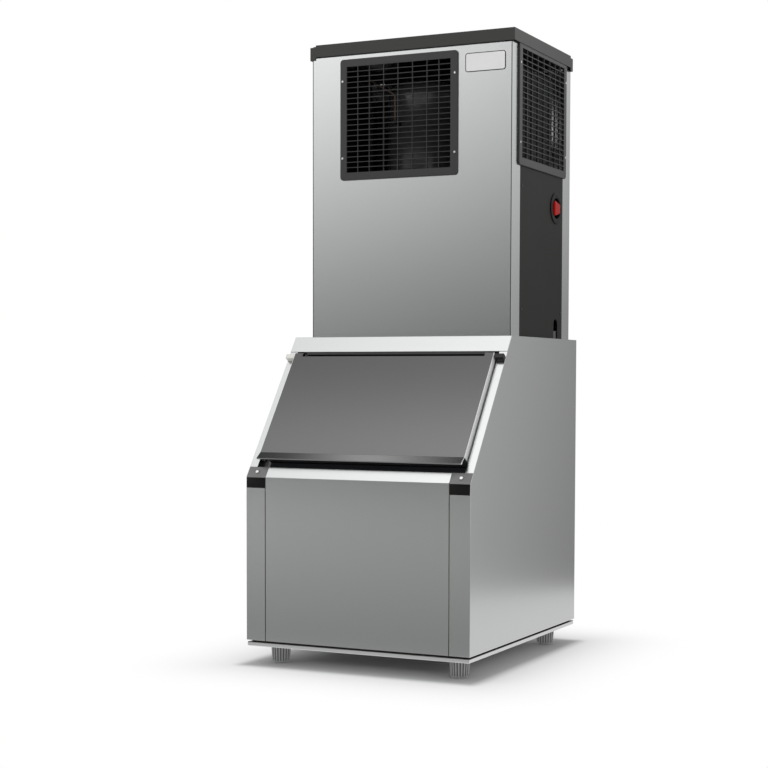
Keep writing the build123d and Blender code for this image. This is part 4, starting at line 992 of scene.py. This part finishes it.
def screw_places(node: str, outward: Iterable[Vector], head_height: float) -> list[tuple[Vector, Vector]]:
    """Where each screw of a group node sits, read from its solid.

    Args:
        node: The group node.
        outward: The directions that its heads can point in.
        head_height: How high a head stands.

    Returns:
        The middle of each head's underside and the direction it points in.
    """
    mesh = bmesh.new()
    mesh.from_mesh(NODES[node].data)
    bmesh.ops.remove_doubles(mesh, verts=mesh.verts, dist=1e-6)
    places = []
    left = set(mesh.verts)
    while left:
        island = [left.pop()]
        for vert in island:
            for edge in vert.link_edges:
                other = edge.other_vert(vert)
                if other in left:
                    left.remove(other)
                    island.append(other)
        points = [vert.co.copy() for vert in island]
        best = max(outward, key=lambda axis: _reach(points, axis))
        top = max(point.dot(best) for point in points)
        head = [point for point in points if top - point.dot(best) < head_height * 1.01]
        middle = sum((point for point in head), Vector()) / len(head)
        places.append((middle - best * (middle.dot(best) - top + head_height), best))
    mesh.free()
    return places


def _reach(points: list[Vector], axis: Vector) -> float:
    """How much wider a screw is at its head end along an axis than at its other end."""
    along = [point.dot(axis) for point in points]
    low, high = min(along), max(along)
    head = [point for point, value in zip(points, along) if high - value < 1e-5]
    tip = [point for point, value in zip(points, along) if value - low < 1e-5]
    if high - low < 0.004 or len(head) < 3 or len(tip) < 3:
        return -1.0
    return max((a - b).length for a in head for b in head) - max((a - b).length for a in tip for b in tip)


@dataclass
class Badge:
    """The bare plate on the head's front, with a thin dark rim."""

    node: str = "badge_plate"
    corner: float = 0.006
    rim: float = 0.0034
    lip: float = 0.0003

    def build(self, wardrobe: Wardrobe) -> bpy.types.Object:
        """Build the plate's face and the rim around it.

        Args:
            wardrobe: Where the materials come from.

        Returns:
            The plate.
        """
        low, high = (Vector(corner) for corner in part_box(self.node))
        face = self._slab(low, high)
        plate = place_piece(face, "badge_face", slot_of(self.node), wardrobe, Body.CABINET.value)
        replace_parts(plate, self.node)
        border = self._slab(low - Vector((0, self.lip, 0)), high)
        front = min(border.faces, key=lambda part: part.calc_center_median().y)
        bmesh.ops.inset_region(border, faces=[front], thickness=self.rim, depth=0.0)
        front = min(border.faces, key=lambda part: (round(part.calc_center_median().y, 6), -part.calc_area()))
        bmesh.ops.translate(border, verts=list(front.verts), vec=(0.0, self.lip * 2, 0.0))
        place_piece(border, "badge_rim", "black_plastic", wardrobe, Body.CABINET.value)
        return plate

    def _slab(self, low: Vector, high: Vector) -> bmesh.types.BMesh:
        """A slab between two corners with its upright corners rounded.

        Args:
            low: Its lowest corner.
            high: Its highest corner.

        Returns:
            The slab.
        """
        size = high - low
        mesh = bmesh.new()
        bmesh.ops.create_cube(
            mesh, size=1.0, matrix=Matrix.Translation((low + high) / 2) @ Matrix.Diagonal((*size, 1.0))
        )
        corners = [
            edge for edge in mesh.edges if abs((edge.verts[0].co - edge.verts[1].co).normalized().y) > 0.9
        ]
        bmesh.ops.bevel(
            mesh, geom=corners, offset=self.corner, offset_type="OFFSET", affect="EDGES", segments=6,
            profile=0.5, material=-1,
        )
        return mesh


@dataclass
class Glow:
    """A rising glow for a reflector card: its strength at a low, a middle and a high place."""

    low: float
    middle: float
    high: float
    left_gain: float = 1.0
    toe: float = 0.0


@dataclass
class Card:
    """A studio card that only gloss sees, so that steel has something soft to reflect."""

    name: str
    corners: tuple[tuple[float, float, float], ...]
    glow: Glow

    def build(self) -> bpy.types.Object:
        """Hang the card.

        Returns:
            The card.
        """
        mesh = bmesh.new()
        bmesh.ops.contextual_create(mesh, geom=[mesh.verts.new(corner) for corner in self.corners])
        layer = mesh.loops.layers.uv.new("UVMap")
        for face in mesh.faces:
            for loop in face.loops:
                index = min(range(4), key=lambda k: (Vector(self.corners[k]) - loop.vert.co).length)
                loop[layer].uv = ((0, 0), (1, 0), (1, 1), (0, 1))[index]
        data = bpy.data.meshes.new(self.name)
        mesh.to_mesh(data)
        mesh.free()
        card = bpy.data.objects.new(self.name, data)
        bpy.context.scene.collection.objects.link(card)
        card.data.materials.append(self._material())
        card.visible_camera = card.visible_diffuse = card.visible_shadow = False
        card.visible_transmission = card.visible_volume_scatter = False
        return card

    def _material(self) -> bpy.types.Material:
        """The glow, which rises along the card's height and fades across it."""
        material = bpy.data.materials.new(self.name)
        material.use_nodes = True
        material.cycles.emission_sampling = "NONE"
        graph = Graph(material.node_tree)
        output = graph.tree.nodes.new("ShaderNodeOutputMaterial")
        place = graph.node("ShaderNodeTexCoord", output="UV")
        across = graph.node("ShaderNodeSeparateXYZ", None, {0: place}, output="X")
        height = graph.node("ShaderNodeSeparateXYZ", None, {0: place}, output="Y")
        low, middle, high = ((value,) * 3 for value in (self.glow.low, self.glow.middle, self.glow.high))
        rise = graph.node(
            "ShaderNodeValToRGB", {"stops": [(self.glow.toe, low), (0.5, middle), (1.0, high)]}, {"Fac": height}
        )
        side = 1.0 + (1.0 - across) * (self.glow.left_gain - 1.0)
        glow = graph.emission(rise, side)
        graph.tree.links.new(glow.link, output.inputs["Surface"])
        return material


@dataclass
class Studio:
    """The plain pale floor, the white surround and the soft light."""

    floor_reach: float = 14.0
    floor_colour: Colour = (0.86, 0.86, 0.86)
    under_colour: Colour = (0.46, 0.46, 0.465)
    under_reach: float = 0.04
    shadow_reach: float = 0.30
    shadow_fall: float = 0.35
    footprint: tuple[float, float] = (0.28, 0.325)
    surround: float = 0.80
    backdrop: float = 1.0
    cards: list[Card] = field(default_factory=lambda: [
        Card("card_front_wall", ((-5.0, -6.0, 0.0), (-1.0, -6.0, 0.0), (-1.0, -6.0, 3.6), (-5.0, -6.0, 3.6)),
             Glow(0.0, 0.42, 1.2, 2.8, 0.105)),
        Card("card_front_flag", ((-1.0, -6.0, 0.0), (2.5, -6.0, 0.0), (2.5, -6.0, 3.6), (-1.0, -6.0, 3.6)),
             Glow(0.05, 0.25, 0.8)),
        Card("card_front_floor", ((-6.5, -0.5, 0.002), (2.5, -0.5, 0.002), (2.5, -6.0, 0.002), (-6.5, -6.0, 0.002)),
             Glow(0.29, 0.43, 0.86, 2.2)),
        Card("card_right_side", ((1.25, 0.55, 0.0), (0.30, 1.75, 0.0), (0.30, 1.75, 1.7), (1.25, 0.55, 1.7)),
             Glow(0.105, 0.122, 0.24, 8.0)),
        Card("card_key", ((-3.2, -3.0, 3.6), (-0.2, -3.0, 3.6), (-0.2, -0.12, 3.6), (-3.2, -0.12, 3.6)),
             Glow(2.9, 2.3, 1.6, 0.5)),
        Card("card_ceiling_dark", ((-3.8, 2.4, 3.72), (-3.8, -0.1, 3.72), (-0.2, -0.1, 3.72), (-0.2, 2.4, 3.72)),
             Glow(0.10, 0.12, 0.16)),
        Card("card_ceiling_light", ((-2.1, 2.2, 3.7), (-2.1, -0.1, 3.7), (-1.25, -0.1, 3.7), (-1.25, 2.2, 3.7)),
             Glow(0.10, 1.5, 0.16)),
    ])

    def build(self) -> None:
        """Lay the floor, hang the cards and the lamps, and fill the world."""
        self._floor()
        for card in self.cards:
            card.build()
        self._lamp("key_softbox", (-1.7, -1.4, 3.6), 2.8, 25.0)
        self._lamp("fill_softbox", (3.2, -2.6, 2.4), 2.0, 10.0)
        self._world()

    def _floor(self) -> None:
        """Lay the floor: pale with a painted shadow darkening it around the machine's footprint, and white for the
        eye beyond the machine's soft shadow.
        """
        mesh = bmesh.new()
        bmesh.ops.create_grid(mesh, x_segments=1, y_segments=1, size=self.floor_reach)
        data = bpy.data.meshes.new("floor")
        mesh.to_mesh(data)
        mesh.free()
        floor = bpy.data.objects.new("floor", data)
        bpy.context.scene.collection.objects.link(floor)
        shader = Shader("floor")
        place = shader.place()
        over = [
            (shader.along(place, axis).size() - reach).positive()
            for axis, reach in zip("XY", self.footprint)
        ]
        away = (over[0] * over[0] + over[1] * over[1]).root()
        eye = shader.seen_as("Is Camera Ray")
        mirror = shader.seen_as("Is Glossy Ray", "Is Transmission Ray")
        # Painted shadow: the floor's colour is darkened within under_reach of the footprint.
        colour = shader.blend(away.band(0.0, self.under_reach), self.under_colour, self.floor_colour)
        shader.finish(Base_Color=colour, Roughness=0.8, Specular_IOR_Level=0.1)
        clear = away.band(0.0, self.shadow_reach).power(self.shadow_fall)
        white = shader.emission((1.0, 1.0, 1.0), 1.0)
        mix = shader.tree.nodes.new("ShaderNodeMixShader")
        shader.tree.links.new((eye * clear + mirror).clamped().link, mix.inputs[0])
        shader.tree.links.new(shader.surface.outputs["BSDF"], mix.inputs[1])
        shader.tree.links.new(white.link, mix.inputs[2])
        shader.tree.links.new(mix.outputs[0], shader.output.inputs["Surface"])
        data.materials.append(shader.material)

    def _lamp(self, name: str, place: tuple[float, float, float], size: float, power: float) -> None:
        """Hang a soft square lamp that faces the machine.

        Args:
            name: The lamp's name.
            place: Where it hangs.
            size: The length of its sides.
            power: Its power in watts.
        """
        data = bpy.data.lights.new(name, "AREA")
        data.shape = "SQUARE"
        data.size = size
        data.energy = power
        lamp = bpy.data.objects.new(name, data)
        lamp.location = place
        aim = Vector((0.0, 0.0, 0.7)) - Vector(place)
        lamp.rotation_euler = aim.to_track_quat("-Z", "Y").to_euler()
        lamp.visible_glossy = False
        bpy.context.scene.collection.objects.link(lamp)

    def _world(self) -> None:
        """Fill the world: white for the eye and for gloss, soft for light."""
        world = bpy.data.worlds.new("surround")
        world.use_nodes = True
        bpy.context.scene.world = world
        graph = Graph(world.node_tree)
        output = graph.tree.nodes.new("ShaderNodeOutputWorld")
        eye = graph.seen_as("Is Camera Ray", "Is Glossy Ray", "Is Transmission Ray")
        strength = eye * (self.backdrop - self.surround) + self.surround
        back = graph.node("ShaderNodeBackground", None, {"Color": (1.0, 1.0, 1.0), "Strength": strength})
        graph.tree.links.new(back.link, output.inputs["Surface"])


@dataclass(frozen=True)
class PhotoCamera:
    """The camera that the photograph was taken with, in the row frame."""

    place: tuple[float, float, float] = (1.687, -3.524, 0.653)
    yaw: float = 0.434
    pitch: float = 0.052
    roll: float = 0.004
    focal: float = 1634.474
    centre: tuple[float, float] = (438.649, 465.644)
    frame_size: float = 768.0
    sensor: float = 36.0

    def build(self) -> bpy.types.Object:
        """Set up the camera.

        Returns:
            The camera.
        """
        data = bpy.data.cameras.new("photo_camera")
        data.sensor_width = self.sensor
        data.lens = self.sensor * self.focal / self.frame_size
        data.shift_x = (self.frame_size / 2 - self.centre[0]) / self.frame_size
        data.shift_y = (self.centre[1] - self.frame_size / 2) / self.frame_size
        forward = Vector((
            -math.sin(self.yaw) * math.cos(self.pitch), math.cos(self.yaw) * math.cos(self.pitch),
            -math.sin(self.pitch),
        ))
        right = Vector((math.cos(self.yaw), math.sin(self.yaw), 0.0))
        upward = right.cross(forward)
        across = right * math.cos(self.roll) + upward * math.sin(self.roll)
        over = upward * math.cos(self.roll) - right * math.sin(self.roll)
        camera = bpy.data.objects.new("photo_camera", data)
        camera.matrix_world = Matrix.Translation(self.place) @ Matrix((across, over, -forward)).transposed().to_4x4()
        bpy.context.scene.collection.objects.link(camera)
        bpy.context.scene.camera = camera
        return camera


@dataclass
class SubAssembly:
    """Pieces that are built and dressed together.

    The fields name the solids that stay as they are, the folded sheets with the radius of their folds,
    and the moulded, turned or cast pieces with the radius of their edges, in metres.
    """

    carried: tuple[str, ...] = ()
    folded: dict[str, float] = field(default_factory=dict)
    moulded: dict[str, float] = field(default_factory=dict)

    def build(self, wardrobe: Wardrobe) -> None:
        """Build the group's pieces and dress its solids.

        Args:
            wardrobe: Where the materials come from.
        """
        for node, fold in self.folded.items():
            FoldedSheet(node, fold).build(wardrobe)
        for node, edge in self.moulded.items():
            SmoothSolid(node, edge).build(wardrobe)
        self.dress(wardrobe)

    def dress(self, wardrobe: Wardrobe) -> None:
        """Give every solid of the group its finish, also those that a piece stands for.

        Args:
            wardrobe: Where the materials come from.
        """
        for node in (*self.carried, *self.folded, *self.moulded):
            wardrobe.dress(node)


@dataclass
class StorageBin(SubAssembly):
    """The insulated bin: clad sides, liner, foam, base frame and the corner caps with their screws."""

    carried: tuple[str, ...] = (
        "bin_back_panel", "bin_bottom_panel", "bin_insulation", "header_wiper_strip", "corner_cap_screws",
    )
    folded: dict[str, float] = field(default_factory=lambda: {
        "bin_right_panel": 0.0012, "bin_left_panel": 0.0012, "bin_front_panel": 0.0012, "bin_top_cover": 0.0012,
        "bin_base_frame": 0.0012,
    })
    moulded: dict[str, float] = field(default_factory=lambda: {
        "corner_cap_right": 0.0012, "corner_cap_left": 0.0012, "bin_liner": 0.0008, "bin_drain": 0.0,
    })
    cap_screw: ScrewShape = field(default_factory=lambda: ScrewShape(0.0044, 0.0026))
    slope_normal: Vector = field(default_factory=lambda: Vector((0.0, -323.0, 228.0)).normalized())

    def build(self, wardrobe: Wardrobe) -> None:
        """Build the bin and set the screws of its caps.

        Args:
            wardrobe: Where the materials come from.
        """
        super().build(wardrobe)
        places = screw_places("corner_cap_screws", [self.slope_normal], self.cap_screw.head_height)
        Screws("corner_cap_screws", self.cap_screw, places).build(wardrobe)


@dataclass
class LiftDoor(SubAssembly):
    """The sloped door with its lip, core and gasket, and the hinge that it turns on."""

    carried: tuple[str, ...] = ("door_gasket", "door_hinge_pins", "door_hinge_blocks")
    folded: dict[str, float] = field(default_factory=lambda: {"door_skin": 0.0012})
    moulded: dict[str, float] = field(default_factory=lambda: {"door_core": 0.0})
    block_edge: float = 0.0012

    def build(self, wardrobe: Wardrobe) -> None:
        """Build the door and its two hinge blocks.

        Args:
            wardrobe: Where the materials come from.
        """
        super().build(wardrobe)
        # Painted reflection: the left block is given the pale hose finish for the light it reflects, while both
        # blocks are the same black block.
        for name, side, slot in (("left", -1.0, "hose"), ("right", 1.0, "black_plastic")):
            self._hinge_block(name, side, slot, wardrobe)

    def _hinge_block(self, name: str, side: float, slot: str, wardrobe: Wardrobe) -> None:
        """Copy one of the two blocks, with its edges taken off.

        Args:
            name: The side's name.
            side: -1 for the left block, 1 for the right one.
            slot: The finish it is given: black for the right block, and the pale hose finish for the left block as a
                painted reflection on what is the same black block.
            wardrobe: Where its material comes from.
        """
        mesh = bmesh.new()
        mesh.from_mesh(NODES["door_hinge_blocks"].data)
        bmesh.ops.remove_doubles(mesh, verts=mesh.verts, dist=1e-6)
        bmesh.ops.delete(mesh, geom=[vert for vert in mesh.verts if vert.co.x * side < 0.0], context="VERTS")
        bmesh.ops.dissolve_limit(
            mesh, angle_limit=math.radians(0.5), use_dissolve_boundaries=False,
            verts=mesh.verts, edges=mesh.edges, delimit=set(),
        )
        rims = [edge for edge in mesh.edges if edge.calc_face_angle(0.0) > math.radians(60)]
        bmesh.ops.bevel(
            mesh, geom=rims, offset=self.block_edge, offset_type="OFFSET", affect="EDGES", segments=2,
            profile=0.5, material=-1, clamp_overlap=True,
        )
        bmesh.ops.triangulate(mesh, faces=mesh.faces)
        body = bodies_of("door_hinge_blocks")
        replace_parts(place_piece(mesh, f"hinge_block_{name}", slot, wardrobe, body), "door_hinge_blocks")


@dataclass
class MachineHead(SubAssembly):
    """The head's cladding: panels, lid, louvred grilles, bare badge plate and screws."""

    carried: tuple[str, ...] = (
        "head_left_panel", "head_right_panel", "head_base_pan", "mid_deck", "lid_seal_strips",
        "connection_plate", "front_grille", "side_grille", "badge_plate", "head_screws",
    )
    folded: dict[str, float] = field(default_factory=lambda: {
        "head_front_panel": 0.0012, "head_back_panel": 0.0012, "head_lid": 0.0015,
    })
    moulded: dict[str, float] = field(default_factory=lambda: {"water_inlet": 0.0004, "cable_gland": 0.0004})
    panel_screw: ScrewShape = field(default_factory=lambda: ScrewShape(0.0026, 0.0012))
    seal_width: float = 0.003

    def build(self, wardrobe: Wardrobe) -> None:
        """Build the cladding, the badge plate, the side seals and the screws.

        Args:
            wardrobe: Where the materials come from.
        """
        super().build(wardrobe)
        sides = [Vector((0, -1, 0)), Vector((1, 0, 0)), Vector((-1, 0, 0))]
        places = screw_places("head_screws", sides, self.panel_screw.head_height)
        Screws("head_screws", self.panel_screw, places).build(wardrobe)
        Badge().build(wardrobe)
        for name, side in (("left", -1.0), ("right", 1.0)):
            self._side_seal(name, side, wardrobe)

    def _side_seal(self, name: str, side: float, wardrobe: Wardrobe) -> None:
        """Lay a strip on one side of the head's top, which shuts the slot under the lid.

        Args:
            name: The side's name.
            side: -1 for the left side, 1 for the right one.
            wardrobe: Where its material comes from.
        """
        low, high = (Vector(corner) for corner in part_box("lid_seal_strips"))
        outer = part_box("head_front_panel")[1][0]
        middle = Vector((side * (outer - self.seal_width / 2), (low.y + high.y) / 2, (low.z + high.z) / 2))
        size = (self.seal_width, high.y - low.y, high.z - low.z, 1.0)
        mesh = bmesh.new()
        bmesh.ops.create_cube(mesh, size=1.0, matrix=Matrix.Translation(middle) @ Matrix.Diagonal(size))
        place_piece(mesh, f"lid_seal_{name}", slot_of("lid_seal_strips"), wardrobe, Body.CABINET.value)


@dataclass
class RotarySwitch(SubAssembly):
    """The dished round plate with the red knob and the switch behind it."""

    carried: tuple[str, ...] = ("switch_body",)
    moulded: dict[str, float] = field(default_factory=lambda: {"switch_plate": 0.0006, "switch_knob": 0.0012})


@dataclass
class CoolingSide(SubAssembly):
    """The refrigeration in the upper half of the head."""

    carried: tuple[str, ...] = ("condenser", "condenser_shroud", "fan_motor_bracket", "control_box")
    moulded: dict[str, float] = field(default_factory=lambda: {
        "compressor": 0.0, "compressor_mounts": 0.001, "condenser_fan": 0.0, "fan_motor": 0.0,
        "filter_drier": 0.0, "refrigerant_lines": 0.0,
    })


@dataclass
class WaterSide(SubAssembly):
    """The evaporator and the water circuit in the lower half of the head."""

    carried: tuple[str, ...] = ("evaporator", "water_curtain", "float_valve")
    moulded: dict[str, float] = field(default_factory=lambda: {
        "evaporator_coil": 0.0, "water_distributor": 0.0, "water_sump": 0.0008, "water_pump": 0.0006,
        "water_tubes": 0.0, "float_arm": 0.0,
    })


@dataclass
class LevellingFeet(SubAssembly):
    """The four ribbed feet under the base frame."""

    moulded: dict[str, float] = field(default_factory=lambda: {
        "foot_front_left": 0.0, "foot_front_right": 0.0, "foot_back_left": 0.0, "foot_back_right": 0.0,
    })


def main() -> None:
    """Build the machine, the studio and the camera, and set the view transform."""
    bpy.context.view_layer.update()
    wardrobe = Wardrobe()
    groups = (
        StorageBin(), LiftDoor(), MachineHead(), RotarySwitch(), CoolingSide(), WaterSide(), LevellingFeet(),
    )
    for group in groups:
        log.info("== %s", type(group).__name__)
        group.build(wardrobe)
    Studio().build()
    PhotoCamera().build()
    scene = bpy.context.scene
    scene.view_settings.view_transform = "Standard"


if __name__ == "__main__":
    main()
